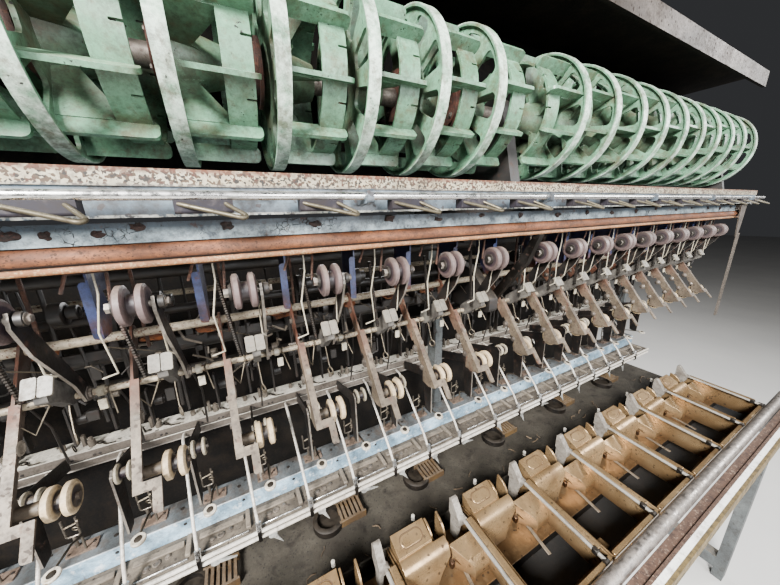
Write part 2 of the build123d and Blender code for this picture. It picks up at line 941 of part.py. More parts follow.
# Thin rods from the front rods up to the beam
clip_x = 57.4
link_wire = 2.8
link_seat = 0.9
link_z = beam_bottom + 10
link = wire(
    [
        (clip_x, front_rod_y, front_rod_z + front_rod_spacing / 2 + front_rod_radius + link_seat),
        (clip_x - 2, 84, 850),
        (clip_x - 6, 140, 914),
        (clip_x - 10, beam_front - 18, link_z),
        (clip_x - 10, beam_front, link_z),
    ],
    link_wire,
    16,
)
link_places = [x for x in stations if x + clip_x + 30 < half_length]
keep("connecting_rods", row(link_places, link))

# Dusty tray, and its front flange with a round finger and its spike below each clip
tray_top = bar_bottom
flange_bottom = 788.0
finger_radius = 8.0
spike_length = 36.0
spike_width = 10.0
spike_turns = [-16.0, -60.0, -65.0]
finger_offset = 22.0
tray_plate = block(-half_length, half_length, tray_front + wall, stanchion_front, tray_top - wall, tray_top)
with BuildPart() as tray_flange:
    with BuildSketch(Plane.XZ.offset(-tray_front)):
        with Locations((0, (flange_bottom + tray_top) / 2)):
            Rectangle(2 * half_length, tray_top - flange_bottom)
        for number, station in enumerate(link_places):
            with Locations(Location((station + clip_x + finger_offset, flange_bottom - 6), spike_turns[number % 3])):
                Circle(finger_radius)
                Polygon((0, -spike_width / 2), (spike_length, 0), (0, spike_width / 2), align=None)
    extrude(amount=-wall)
keep("rod_tray", Compound(children=[tray_plate, tray_flange.part]))

# Basin: a long open trough, and the dark pan that goes on from it under the feeders
basin_outline = [
    (basin_front, table_top),
    (basin_back, table_top),
    (basin_back, basin_rim + 18),
    (basin_back - wall, basin_rim + 18),
    (basin_back - wall, table_top + wall),
    (basin_front + wall, table_top + wall),
    (basin_front + wall, basin_rim),
    (basin_front, basin_rim),
]
pan = block(-half_length, half_length, leg_back, basin_front, table_top, table_top + wall)
keep("basin", Compound(children=[profile(basin_outline, -half_length, half_length), pan]))

keep("front_tube", rod((tube_y, tube_z), tube_radius, -half_length, half_length))

# Ledges in front of the tube: a brown strip and the white one that carries it
ledge_back = tube_y - tube_radius
ledge_step = -332.0
leg_top = tube_z - tube_radius
ledge_outline = [
    (leg_front, 770),
    (leg_front, leg_top),
    (ledge_back - 2, leg_top),
    (ledge_back - 2, 797),
    (ledge_step, 797),
    (ledge_step, 800),
    (front_face, 800),
    (front_face, 770),
]
keep("front_ledges", profile(ledge_outline, -half_length, half_length))

# Rails that the feeders slide on
feeder_rails = Compound(
    children=[
        block(-half_length, half_length, -100, -88, table_top + wall, feeder_floor),
        block(-half_length, half_length, -182, -170, table_top + wall, feeder_floor),
        block(-half_length, half_length, -275, -260, table_top + wall, feeder_floor),
    ]
)
keep("feeder_rails", feeder_rails)

# Feeder tray, one cocoon feeder with its screw at x = 0: the floor, and the folded ramp in front of the fins
unit_low = -150.0
unit_high = 20.0
cover_high = -51.0
floor_thickness = 3.0
floor_top = feeder_floor + floor_thickness
opening_inner = -188.0
outer_foot = -262.0
tray_head_y = -78.0
ramp_low = cover_high + 3
ramp_back = -127.0
ramp_front = -171.0
ramp_slant = 30.0
floor_span = (unit_low + wall, unit_high - wall)
feeder_floor_plate = block(*floor_span, opening_inner, tray_head_y, feeder_floor, floor_top)
with BuildPart() as ramp:
    with BuildSketch(yz(ramp_low)):
        with BuildLine():
            Polyline(
                (ramp_back, floor_top),
                (ramp_back, 797),
                (ramp_front + 13, 782),
                (ramp_front + 3, 773),
                (ramp_front, 765),
                (ramp_front, floor_top),
                close=True,
            )
        make_face()
    extrude(amount=unit_high - wall - ramp_low)
    with BuildSketch(Plane.XY.offset(floor_top)):
        with BuildLine():
            Polyline(
                (ramp_low, ramp_back),
                (ramp_low + ramp_slant, ramp_front),
                (ramp_low, ramp_front),
                close=True,
            )
        make_face()
    extrude(amount=60, mode=Mode.SUBTRACT)
keep("feeder_trays", row(caps, feeder_floor_plate, ramp.part))

# Side walls and ribbed outer wall of a feeder
side_outline = [
    (tray_head_y, feeder_floor),
    (outer_foot, feeder_floor),
    (feeder_edge_y + 3, feeder_edge_z),
    (-112, 806),
    (tray_head_y, 800),
]
left_wall = profile(side_outline, unit_low, unit_low + wall)
right_wall = profile(side_outline, unit_high - wall, unit_high)
rib_count = 6
with BuildPart() as outer_wall:
    with BuildSketch(yz(unit_low + wall)):
        with BuildLine():
            Polyline(
                (outer_foot, feeder_floor),
                (feeder_edge_y + 3, feeder_edge_z),
                (feeder_edge_y, feeder_edge_z),
                (feeder_edge_y, feeder_edge_z - 12),
                (outer_foot - 3, feeder_floor),
                close=True,
            )
        make_face()
    extrude(amount=unit_high - unit_low - 2 * wall)
keep("feeder_walls", row(caps, left_wall, right_wall, outer_wall.part))

# Feeder head: sloped box with an oval pad, a slit, a wider flared cover below it, and two blades beside it
head_low = -146.0
head_high = -76.0
head_back = -80.0
head_back_top = 828.0
slit_y = -114.0
slit_top = 814.5
slit_depth = 3.5
cover_foot = -150.0
cover_cut_height = 786.0
cover_cut_x = -88.0
pad_length = 44.0
pad_width = 20.0
pad_height = 1.2
blade_thickness = 4.0
blade_places = [-73.0, -45.0]
blade_top = 824.0
blade_front = slit_y + 2
cover_top = (slit_y - 3, slit_top - slit_depth + 1)
cover_bend = (slit_y - 24, 792)
top_run = math.dist((head_back, head_back_top), (slit_y, slit_top))
top_normal = (0, -(head_back_top - slit_top) / top_run, (head_back - slit_y) / top_run)
top_middle = ((head_low + head_high) / 2, (head_back + slit_y) / 2, (head_back_top + slit_top) / 2)
head_top = Plane(origin=top_middle, x_dir=(1, 0, 0), z_dir=top_normal)
with BuildPart() as head_box:
    with BuildSketch(yz(head_low)):
        with BuildLine():
            Line((head_back - 2, floor_top), (head_back, head_back_top))
            Line((head_back, head_back_top), (slit_y, slit_top))
            Line((slit_y, slit_top), (slit_y, slit_top - slit_depth))
            Line((slit_y, slit_top - slit_depth), cover_top)
            ThreePointArc(cover_top, (slit_y - 17, 806), cover_bend)
            ThreePointArc(cover_bend, (slit_y - 28, 768), (cover_foot, floor_top))
            Line((cover_foot, floor_top), (head_back - 2, floor_top))
        make_face()
    extrude(amount=head_high - head_low)
    # The cover goes on to the right of the box as a curved sheet
    with BuildSketch(yz(head_high)):
        with BuildLine():
            Line((cover_top[0], floor_top), cover_top)
            ThreePointArc(cover_top, (slit_y - 17, 806), cover_bend)
            ThreePointArc(cover_bend, (slit_y - 28, 768), (cover_foot, floor_top))
            Line((cover_foot, floor_top), (cover_top[0], floor_top))
        make_face()
    extrude(amount=cover_high - head_high)
    with BuildSketch(Plane.XZ.offset(-cover_top[0])):
        Polygon(
            (cover_high, cover_cut_height),
            (cover_high, floor_top),
            (cover_cut_x, floor_top),
            align=None,
        )
    extrude(amount=60, mode=Mode.SUBTRACT)
    with BuildSketch(head_top):
        SlotOverall(pad_length, pad_width)
    extrude(amount=pad_height)
with BuildPart() as blade:
    with BuildSketch(yz(0)):
        with BuildLine():
            Line((head_back, floor_top), (head_back, blade_top))
            ThreePointArc((head_back, blade_top), (-102, 814), (blade_front, 788))
            Line((blade_front, 788), (blade_front, floor_top))
            Line((blade_front, floor_top), (head_back, floor_top))
        make_face()
    extrude(amount=blade_thickness)
head_pieces = [head_box.part]
head_pieces += [blade.part.moved(Location((x, 0, 0))) for x in blade_places]
keep("feeder_heads", row(caps, *head_pieces))

# Grey lever: a slotted casting, the screw boss and the steel rod out to the edge
rod_end = (-283.0, feeder_edge_z + 4.5)
lever_rod_radius = 3.5
lever_width = 14.0
lever_high_x = 2.0
rod_direction = Vector(0, rod_end[0] - cap_y, rod_end[1] - cap_z)
rod_plane = Plane(origin=(0, cap_y, cap_z), z_dir=rod_direction)
lever_face = Plane(origin=(lever_high_x - lever_width / 2, -97, 838), x_dir=(1, 0, 0), z_dir=(0, -0.79, 0.61))
with BuildPart() as feeder_lever:
    with BuildSketch(yz(lever_high_x - lever_width)):
        with BuildLine():
            FilletPolyline(
                (-84, 812),
                (-84, 846),
                (-91, 846),
                (-114, 816),
                (-114, 797),
                (-98, 797),
                radius=(3, 3, 3, 4, 4, 4),
                close=True,
            )
        make_face()
    extrude(amount=lever_width)
    with BuildSketch(lever_face):
        with Locations((0, 7), (0, 0), (0, -7)):
            SlotOverall(lever_width - 4, 3)
    extrude(amount=-9, mode=Mode.SUBTRACT)
    with BuildSketch(yz(lever_high_x - lever_width / 2 - 2)):
        with BuildLine():
            Polyline((-84, floor_top), (-84, 820), (-112, 805), (-104, floor_top), close=True)
        make_face()
    extrude(amount=4)
    with BuildSketch(rod_plane):
        Circle(7)
    extrude(amount=9)
    with BuildSketch(rod_plane):
        Circle(lever_rod_radius)
    extrude(amount=rod_direction.length)
keep("feeder_levers", row(caps, feeder_lever.part))

# Gold bar with a rounded top along the rod
bar_start = (-116.0, 811.0)
bar_end = (-268.0, 804.5)
bar_width = 14.0
bar_height = 7.0
bar_gap = 1.0
bar_direction = Vector(0, bar_end[0] - bar_start[0], bar_end[1] - bar_start[1])
bar_middle = lever_rod_radius + bar_gap + bar_width / 2
bar_plane = Plane(origin=(bar_middle, *bar_start), x_dir=(1, 0, 0), z_dir=bar_direction)
with BuildPart() as feeder_bar:
    with BuildSketch(bar_plane) as bar_section:
        Rectangle(bar_width, bar_height)
        fillet(bar_section.vertices(), 3)
    extrude(amount=bar_direction.length)
keep("feeder_bars", row(caps, feeder_bar.part))
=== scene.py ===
import json
import math
import random

import bmesh
import bpy
from mathutils import Matrix, Vector

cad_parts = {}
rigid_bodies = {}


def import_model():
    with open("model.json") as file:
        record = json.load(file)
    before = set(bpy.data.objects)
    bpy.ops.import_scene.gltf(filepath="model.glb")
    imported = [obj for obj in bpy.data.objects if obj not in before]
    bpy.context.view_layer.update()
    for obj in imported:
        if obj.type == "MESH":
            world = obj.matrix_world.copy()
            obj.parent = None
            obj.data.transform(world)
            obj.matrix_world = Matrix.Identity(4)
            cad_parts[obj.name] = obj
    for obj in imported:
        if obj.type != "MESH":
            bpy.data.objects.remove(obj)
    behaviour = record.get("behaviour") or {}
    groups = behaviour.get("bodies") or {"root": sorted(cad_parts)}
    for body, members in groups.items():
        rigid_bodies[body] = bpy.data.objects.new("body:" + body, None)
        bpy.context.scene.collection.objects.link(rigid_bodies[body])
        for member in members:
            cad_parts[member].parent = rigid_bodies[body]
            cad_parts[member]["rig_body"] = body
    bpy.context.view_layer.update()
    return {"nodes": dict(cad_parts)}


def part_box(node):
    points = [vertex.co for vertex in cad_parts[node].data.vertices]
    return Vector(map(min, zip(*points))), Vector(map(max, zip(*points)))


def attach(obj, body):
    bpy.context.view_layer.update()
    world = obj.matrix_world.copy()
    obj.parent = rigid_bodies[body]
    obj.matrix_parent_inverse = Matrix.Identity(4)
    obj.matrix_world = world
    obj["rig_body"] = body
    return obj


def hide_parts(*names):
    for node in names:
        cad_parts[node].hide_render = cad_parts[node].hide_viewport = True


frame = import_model()

# The twenty ends and the eleven feeders along the machine, in millimetres as every size below
pitch = 100.0
first_station = 67.0
ends_each_side = 10
half_stations = [first_station + pitch * number for number in range(ends_each_side)]
stations = [-x for x in reversed(half_stations)] + half_stations
half_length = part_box("reel_rail")[1].x * 1000
reel_nodes = [f"reel_{number:02d}" for number in range(1, 2 * ends_each_side + 1)]
feeder_pitch = 172.3
first_cap = -841.2
feeder_count = 11
caps = [first_cap + feeder_pitch * number for number in range(feeder_count)]

# Axles and rods at (y, z), and the faces that small pieces stand on
reel_axis = (15.0, 1572.0)
upper_wheel = (-73.0, 1317.5)
lower_wheel = (-61.0, 1115.0)
small_wheel = (89.0, 1016.0)
cream_rod = (1.0, 1201.0)
beam_front = 210.0
beam_top = 995.0
bar_front = 122.0
bar_top = 848.0
front_rod_y = 61.5
tray_top = 810.0
basin_floor = 710.0

crease_angle = math.radians(38)


# Materials


oily_brown = (0.085, 0.066, 0.048)
deepening = 1.75


def deepened(colour):
    """A paint's colour as it has to be under the strong studio light."""
    return tuple(channel**deepening for channel in colour)


class Finish:
    """A material whose colour, roughness and bump are built up in layers on object coordinates."""

    def __init__(self, name, colour, roughness=0.5, metallic=0.0, specular=0.5):
        self.material = bpy.data.materials.new(name)
        self.material.use_nodes = True
        self.tree = self.material.node_tree
        self.shader = self.tree.nodes["Principled BSDF"]
        self.shader.inputs["Metallic"].default_value = metallic
        self.shader.inputs["Roughness"].default_value = roughness
        self.shader.inputs["Specular IOR Level"].default_value = specular
        self.place = self.node("ShaderNodeTexCoord").outputs["Object"]
        self.colour = self.rgb(colour)
        self.rough = roughness
        self.metal = metallic
        self.height = None

    def node(self, kind, **values):
        made = self.tree.nodes.new(kind)
        for key, value in values.items():
            setattr(made, key, value)
        return made

    def link(self, source, target):
        self.tree.links.new(source, target)

    def feed(self, socket, value):
        """Puts a number on a socket, or links what makes one."""
        if isinstance(value, (int, float)):
            socket.default_value = value
        else:
            self.link(value, socket)

    def rgb(self, colour):
        made = self.node("ShaderNodeRGB")
        made.outputs[0].default_value = (*deepened(colour), 1)
        return made.outputs[0]

    def mapped(self, stretch, offset):
        mapping = self.node("ShaderNodeMapping")
        mapping.inputs["Scale"].default_value = stretch
        mapping.inputs["Location"].default_value = (offset, offset * 0.7, -offset)
        self.link(self.place, mapping.inputs["Vector"])
        return mapping.outputs[0]

    def noise(self, scale, detail=4.0, roughness=0.6, stretch=(1, 1, 1), offset=0.0):
        """Grey noise, centred on 0.5, on the object's own coordinates."""
        made = self.node("ShaderNodeTexNoise")
        made.inputs["Scale"].default_value = scale
        made.inputs["Detail"].default_value = detail
        made.inputs["Roughness"].default_value = roughness
        self.link(self.mapped(stretch, offset), made.inputs["Vector"])
        return made.outputs["Fac"]

    def flecks(self, scale, share, stretch=(1, 1, 1), offset=0.0):
        """Angular flecks that cover about this share of the surface."""
        made = self.node("ShaderNodeTexVoronoi")
        made.inputs["Scale"].default_value = scale
        made.inputs["Randomness"].default_value = 1.0
        self.link(self.mapped(stretch, offset), made.inputs["Vector"])
        split = self.node("ShaderNodeSeparateXYZ")
        self.link(made.outputs["Color"], split.inputs[0])
        return self.ramp(split.outputs["X"], 1 - share, 1.02 - share)

    def ramp(self, source, low, high):
        """Zero below low, one above high, or the other way round when low is the larger."""
        made = self.node("ShaderNodeMapRange")
        made.inputs["From Min"].default_value = low
        made.inputs["From Max"].default_value = high
        self.link(source, made.inputs["Value"])
        return made.outputs[0]

    def patches(self, low, high, scale, detail=4.0, roughness=0.6, stretch=(1, 1, 1), offset=0.0):
        """Patches of noise, from none where it is below low to all where it is above high."""
        return self.ramp(self.noise(scale, detail, roughness, stretch, offset), low, high)

    def maths(self, kind, first, second, clamp=True):
        made = self.node("ShaderNodeMath", operation=kind)
        made.use_clamp = clamp
        self.feed(made.inputs[0], first)
        self.feed(made.inputs[1], second)
        return made.outputs[0]

    def times(self, *sources):
        product = sources[0]
        for source in sources[1:]:
            product = self.maths("MULTIPLY", product, source)
        return product

    def along(self, axis):
        """The object coordinate along X, Y or Z, in metres."""
        split = self.node("ShaderNodeSeparateXYZ")
        self.link(self.place, split.inputs[0])
        return split.outputs[axis]

    def border(self, axis, empty, full):
        """A mask that goes from empty to full between two places along an axis, in metres."""
        return self.ramp(self.along(axis), empty, full)

    def from_axis(self, centre):
        """Distance in metres from an axis along X at (y, z) in millimetres."""
        away = self.node("ShaderNodeVectorMath", operation="SUBTRACT")
        self.link(self.place, away.inputs[0])
        away.inputs[1].default_value = (0, centre[0] / 1000, centre[1] / 1000)
        across = self.node("ShaderNodeVectorMath", operation="MULTIPLY")
        self.link(away.outputs[0], across.inputs[0])
        across.inputs[1].default_value = (0, 1, 1)
        run = self.node("ShaderNodeVectorMath", operation="LENGTH")
        self.link(across.outputs[0], run.inputs[0])
        return run.outputs["Value"]

    def facing(self, axis="Z", low=0.3, high=0.9):
        """How far the surface faces along an axis; with negative bounds, against it."""
        geometry = self.node("ShaderNodeNewGeometry")
        split = self.node("ShaderNodeSeparateXYZ")
        self.link(geometry.outputs["Normal"], split.inputs[0])
        return self.ramp(split.outputs[axis], low, high)

    def layer(self, mask, colour, roughness=None, metallic=None):
        """Puts a colour, and maybe its own roughness, where a mask says, or where several masks agree."""
        if isinstance(mask, tuple):
            mask = self.times(*mask)
        mixed = self.node("ShaderNodeMix", data_type="RGBA")
        self.link(mask, mixed.inputs[0])
        # A mix node's sockets 6 and 7 are its two colours, and 2 and 3 its two numbers
        self.link(self.colour, mixed.inputs[6])
        self.link(self.rgb(colour), mixed.inputs[7])
        self.colour = mixed.outputs[2]
        if roughness is not None:
            self.rough = self.blend(mask, self.rough, roughness)
        if metallic is not None:
            self.metal = self.blend(mask, self.metal, metallic)
        return self

    def blend(self, mask, under, over):
        made = self.node("ShaderNodeMix", data_type="FLOAT")
        self.link(mask, made.inputs[0])
        self.feed(made.inputs[2], under)
        self.feed(made.inputs[3], over)
        return made.outputs[0]

    def relief(self, source, amount):
        """Adds to the surface's height, in shares of the bump distance."""
        scaled = self.maths("MULTIPLY", source, amount, clamp=False)
        self.height = scaled if self.height is None else self.maths("ADD", self.height, scaled, clamp=False)
        return self

    def soil(self, amount):
        """Mottles the finish with oily grime, in broad patches and in fine specks."""
        fine = self.patches(0.46, 0.62, 210, 8, 0.8, offset=11.0)
        broad = self.patches(0.46, 0.62, 19, 7, 0.72, offset=12.0)
        both = self.maths("ADD", self.times(fine, 0.65), self.times(broad, 0.55))
        return self.layer((both, amount), oily_brown, 0.75)

    def done(self, bump_distance=0.001, strength=0.5, grime=0.6):
        if grime:
            self.soil(grime)
        self.link(self.colour, self.shader.inputs["Base Color"])
        if not isinstance(self.rough, float):
            self.link(self.rough, self.shader.inputs["Roughness"])
        if not isinstance(self.metal, (int, float)):
            self.link(self.metal, self.shader.inputs["Metallic"])
        if self.height is not None:
            bump = self.node("ShaderNodeBump")
            bump.inputs["Strength"].default_value = strength
            bump.inputs["Distance"].default_value = bump_distance
            self.link(self.height, bump.inputs["Height"])
            self.link(bump.outputs[0], self.shader.inputs["Normal"])
        return self.material


def reel_paint():
    """Green enamel: paler at the rims with scuffs and a painted highlight, darker brown towards the hub in
    patches of painted shade, chipped to black in points.
    """
    made = Finish("reel_green_paint", (0.22, 0.36, 0.265), 0.30)
    broad = made.noise(9, 5, 0.6)
    fine = made.noise(60, 6, 0.65)
    radius = made.from_axis(reel_axis)
    made.layer(made.ramp(broad, 0.42, 0.64), (0.28, 0.44, 0.335))
    made.layer((made.ramp(fine, 0.50, 0.68), 0.55), (0.38, 0.54, 0.43), 0.35)
    # Rims: pale scuffs together with a painted highlight on the outermost faces
    rim = made.times(made.ramp(radius, 0.1095, 0.1112), made.patches(0.36, 0.56, 40, 5, 0.7, offset=4.0))
    made.layer((rim, 0.75), (0.72, 0.79, 0.72), 0.32)
    # Towards the hub: painted shade, darker brown in patches
    inside = made.times(made.ramp(radius, 0.092, 0.060), made.patches(0.30, 0.56, 16, 5, 0.7, offset=2.0))
    made.layer((inside, 0.85), (0.16, 0.175, 0.12), 0.6)
    grime = made.times(made.patches(0.50, 0.64, 26, 8, 0.75, offset=3.1), 0.75)
    made.layer(grime, (0.21, 0.20, 0.125), 0.55)
    tips = made.times(made.patches(0.54, 0.66, 70, 6, 0.75, offset=9.0), 0.6)
    made.layer(tips, (0.23, 0.17, 0.115), 0.6)
    dust = made.times(made.facing("Z", 0.6, 0.95), made.ramp(fine, 0.38, 0.62), 0.5)
    made.layer(dust, (0.42, 0.38, 0.29), 0.8)
    chips = made.times(made.flecks(620, 0.035, offset=7.7), made.patches(0.54, 0.60, 26, 3, offset=1.0))
    made.layer(chips, (0.03, 0.03, 0.025), 0.7)
    made.relief(fine, 0.6).relief(chips, -0.5)
    return made.done(0.0006, 0.5)


def reel_edge():
    """The same enamel rubbed pale along the edges of the casting, and to bare iron in places."""
    made = Finish("reel_edge_wear", (0.80, 0.87, 0.82), 0.32)
    made.layer(made.patches(0.50, 0.62, 35, 5, 0.65), (0.38, 0.54, 0.43))
    made.layer((made.patches(0.58, 0.66, 70, 5, 0.7, offset=5.0), 0.8), (0.68, 0.68, 0.58))
    made.layer((made.patches(0.62, 0.68, 48, 4, 0.7, offset=8.0), 0.85), (0.10, 0.075, 0.05), 0.7)
    return made.done()


def flaked_paint(name, paint, pale, bare, share, roughness=0.55, scale=420):
    """Old paint that has flaked off in specks down to rust."""
    made = Finish(name, paint, roughness)
    made.layer(made.patches(0.40, 0.62, 14, 5, 0.6), pale)
    flake = made.times(made.flecks(scale, share), made.patches(0.34, 0.56, 30, 4, 0.7, offset=5.0))
    made.layer(flake, bare, 0.85)
    dark = made.flecks(scale * 1.5, share * 0.45, offset=9.0)
    made.layer((dark, 0.8), (0.07, 0.04, 0.03), 0.9)
    stain = made.times(made.patches(0.56, 0.74, 20, 6, 0.75, offset=2.0), 0.6)
    made.layer(stain, (0.20, 0.12, 0.075), 0.8)
    made.relief(flake, -0.7).relief(made.noise(300, 4), 0.4)
    return made.done(0.0008, 0.6)


def rail_paint():
    """Cream paint crazed all over with brown and black specks, and stained along its top edge."""
    made = Finish("cream_crazed_paint", (0.49, 0.44, 0.345), 0.6)
    made.layer(made.patches(0.40, 0.62, 14, 5, 0.6), (0.58, 0.55, 0.46))
    made.layer(made.flecks(470, 0.34), (0.19, 0.14, 0.095), 0.8)
    made.layer((made.flecks(330, 0.14, offset=4.0), 0.9), (0.17, 0.08, 0.055), 0.85)
    made.layer(made.flecks(520, 0.18, offset=2.0), (0.075, 0.065, 0.055), 0.8)
    edge = made.border("Z", 1.4352, 1.4385)
    worn = made.patches(0.30, 0.52, 60, 5, 0.7, offset=6.0)
    made.layer((edge, worn, 0.85), (0.27, 0.14, 0.085), 0.85)
    low = made.border("Z", 1.4285, 1.4262)
    made.layer((low, 0.65), (0.30, 0.29, 0.27), 0.6)
    made.relief(made.flecks(430, 0.30), -0.5).relief(made.noise(260, 4), 0.6)
    return made.done(0.0007, 0.6)


def guide_paint():
    """Grey blue strip, streaked along the machine, oily round each clamp and chipped white along its foot."""
    made = Finish("grey_blue_paint", (0.16, 0.19, 0.22), 0.34)
    made.layer(made.patches(0.40, 0.62, 30, 5, 0.6, (0.08, 1, 1)), (0.29, 0.34, 0.375), 0.28)
    # The strip's distance from its nearest clamp, in metres
    lead = 0.06
    clamp_place = 0.045
    distance = made.maths("ABSOLUTE", made.along("X"), 0.0, clamp=False)
    shifted = made.maths("SUBTRACT", distance, first_station / 1000 - lead, clamp=False)
    phase = made.maths("MODULO", shifted, pitch / 1000, clamp=False)
    from_clamp = made.maths("SUBTRACT", phase, clamp_place, clamp=False)
    near = made.maths("ABSOLUTE", from_clamp, 0.0, clamp=False)
    oil = made.times(made.ramp(near, 0.034, 0.016), made.patches(0.34, 0.6, 50, 5, 0.7, offset=1.0))
    made.layer((oil, 0.85), (0.05, 0.042, 0.045), 0.45)
    foot = made.border("Z", 1.4036, 1.4026)
    made.layer((foot, made.patches(0.42, 0.5, 160, 4, 0.7)), (0.66, 0.66, 0.62), 0.6)
    made.layer((made.flecks(260, 0.05, offset=3.0), 0.7), (0.11, 0.07, 0.05), 0.8)
    made.relief(made.noise(220, 4), 0.4)
    return made.done(0.0005, 0.45)


def peeling_rail_paint():
    """Grey blue above, whitish below, with black cracks where the paint lifts, and spots of rust."""
    made = Finish("peeling_blue_paint", (0.14, 0.175, 0.205), 0.5)
    low = made.border("Z", 1.393, 1.386)
    ragged = made.patches(0.36, 0.54, 42, 6, 0.7)
    made.layer((low, ragged), (0.48, 0.54, 0.56), 0.55)
    made.layer((made.patches(0.58, 0.66, 60, 6, 0.75, offset=4.0), 0.8), (0.20, 0.115, 0.08), 0.85)
    cracks = made.node("ShaderNodeTexVoronoi", feature="DISTANCE_TO_EDGE")
    cracks.inputs["Scale"].default_value = 170
    made.link(made.mapped((1, 1, 1), 2.0), cracks.inputs["Vector"])
    lines = made.ramp(cracks.outputs["Distance"], 0.07, 0.03)
    broken = made.times(lines, made.patches(0.54, 0.62, 45, 6, 0.7, offset=6.0))
    made.layer(broken, (0.03, 0.03, 0.03), 0.8)
    under = made.border("Z", 1.3793, 1.3788)
    made.layer(under, (0.05, 0.045, 0.04), 0.8)
    made.relief(broken, -0.8).relief(made.noise(150, 5), 0.5)
    return made.done(0.001, 0.6)


def rust(name, bright, deep, pale=(0.62, 0.36, 0.20), scale=40):
    """Powdery rust with streaks, dark scale and pits."""
    made = Finish(name, bright, 0.82)
    made.layer(made.patches(0.42, 0.60, scale, 8, 0.7, (0.35, 1, 1)), deep, 0.9)
    made.layer((made.patches(0.54, 0.68, scale * 3, 5, 0.7, (0.6, 1, 1), 2.0), 0.8), pale, 0.8)
    pits = made.patches(0.58, 0.64, scale * 6, 4, 0.6, offset=4.0)
    made.layer((pits, 0.85), (0.08, 0.04, 0.025), 0.95)
    made.relief(made.noise(scale * 5, 6, 0.7), 1.0).relief(pits, -0.6)
    return made.done(0.0009, 0.7)


def pipe_rust():
    """Orange brown rust along the pipe, a dark line over its lip and a paler, speckled lip."""
    made = Finish("pipe_orange_rust", (0.32, 0.165, 0.08), 0.6)
    made.layer(made.patches(0.42, 0.62, 38, 8, 0.72, (0.35, 1, 1)), (0.27, 0.15, 0.095), 0.8)
    made.layer((made.patches(0.50, 0.62, 150, 7, 0.75, (0.4, 1, 1), 2.0), 0.6), (0.46, 0.25, 0.13))
    made.layer((made.flecks(900, 0.10, (0.8, 1, 1), 3.0), 0.8), (0.15, 0.09, 0.055), 0.9)
    made.layer((made.patches(0.56, 0.64, 50, 8, 0.75, offset=5.0), 0.7), (0.15, 0.075, 0.045), 0.85)
    lip = made.border("Z", 1.3622, 1.3612)
    made.layer((lip, 0.8), (0.50, 0.31, 0.18), 0.8)
    made.layer((lip, made.flecks(800, 0.22)), (0.55, 0.43, 0.29), 0.7)
    seam = made.times(made.border("Z", 1.3650, 1.3638), made.border("Z", 1.3610, 1.3622))
    made.layer((seam, 0.9), (0.035, 0.02, 0.015), 0.9)
    made.relief(made.noise(200, 6, 0.7), 1.0)
    return made.done(0.0009, 0.7)


def worn_metal(name, colour, dark, roughness=0.35, stain=0.5, dust=0.5):
    """Bare or plated metal with dark stains, spots of rust, and dust on what faces up."""
    made = Finish(name, colour, roughness, 1.0)
    cloud = made.noise(35, 6, 0.7)
    made.layer((made.ramp(cloud, 0.45, 0.68), stain), dark, roughness + 0.25, 0.5)
    spots = made.times(made.patches(0.58, 0.66, 110, 5, 0.7, offset=5.0), stain)
    made.layer(spots, (0.16, 0.085, 0.05), 0.85, 0.0)
    settled = made.times(made.facing("Z", 0.4, 0.9), made.patches(0.40, 0.62, 90, 4, 0.6, offset=3.0))
    made.layer((settled, dust), (0.34, 0.29, 0.23), 0.9, 0.0)
    made.relief(cloud, 0.4)
    return made.done(0.0004, 0.4)


mill_dust = (0.36, 0.32, 0.27)


def dusty_paint(name, colour, second, grime, roughness=0.5, dust=0.6, dust_colour=mill_dust, specular=0.5):
    """Smooth paint or moulding with stains and a coat of mill dust on what faces up."""
    made = Finish(name, colour, roughness, specular=specular)
    made.layer(made.patches(0.40, 0.64, 12, 5, 0.6), second)
    spots = made.patches(0.54, 0.68, 70, 6, 0.7, offset=2.2)
    made.layer((spots, 0.7), grime, 0.75)
    settled = made.times(made.facing("Z", 0.35, 0.85), made.patches(0.34, 0.56, 45, 5, 0.7, offset=6.0))
    made.layer((settled, dust), dust_colour, 0.95)
    made.relief(made.noise(220, 4, 0.6), 0.5).relief(spots, 0.3)
    return made.done(0.0005, 0.45)


def wheel_moulding(name, centre, flange, groove, groove_radius, flange_radius):
    """Thread wheel: its flanges dusty and rubbed, its groove darker and smooth."""
    made = Finish(name, flange, 0.5)
    made.layer(made.patches(0.42, 0.62, 24, 5, 0.65), tuple(v * 0.78 for v in flange))
    radius = made.from_axis(centre)
    made.layer(made.ramp(radius, (groove_radius + 3.5) / 1000, (groove_radius + 1.5) / 1000), groove, 0.35)
    rings = made.patches(0.50, 0.64, 90, 4, 0.7, offset=3.0)
    made.layer((rings, 0.55), tuple(v * 0.42 for v in flange), 0.75)
    lip = made.times(made.ramp(radius, (flange_radius - 1.6) / 1000, (flange_radius - 0.6) / 1000), 0.55)
    made.layer(lip, tuple(min(1, v * 1.25 + 0.05) for v in flange), 0.45)
    settled = made.times(made.facing("Z", 0.3, 0.9), made.patches(0.36, 0.6, 70, 5, 0.7, offset=6.0), 0.5)
    made.layer(settled, (0.36, 0.31, 0.25), 0.9)
    made.relief(made.noise(200, 4), 0.4)
    return made.done(0.0004, 0.4)


def thread_guide_finish():
    """Grey guide body, with its ceramic tags rubbed white."""
    made = Finish("thread_guide_grey", (0.13, 0.125, 0.12), 0.5)
    made.layer(made.patches(0.42, 0.62, 40, 5, 0.65), (0.24, 0.23, 0.21))
    made.layer((made.patches(0.54, 0.66, 90, 5, 0.7, offset=3.0), 0.7), (0.10, 0.08, 0.065), 0.7)
    reach = made.node("ShaderNodeVectorMath", operation="DOT_PRODUCT")
    made.link(made.place, reach.inputs[0])
    reach.inputs[1].default_value = (0, -0.8, 0.6)
    tag = made.ramp(reach.outputs["Value"], 0.7784, 0.7786)
    made.layer(tag, (0.31, 0.295, 0.26), 0.4)
    made.layer((tag, made.patches(0.50, 0.62, 130, 5, 0.7, offset=1.0), 0.6), (0.30, 0.26, 0.22), 0.6)
    made.relief(made.noise(160, 4), 0.4)
    return made.done(0.0004, 0.4)


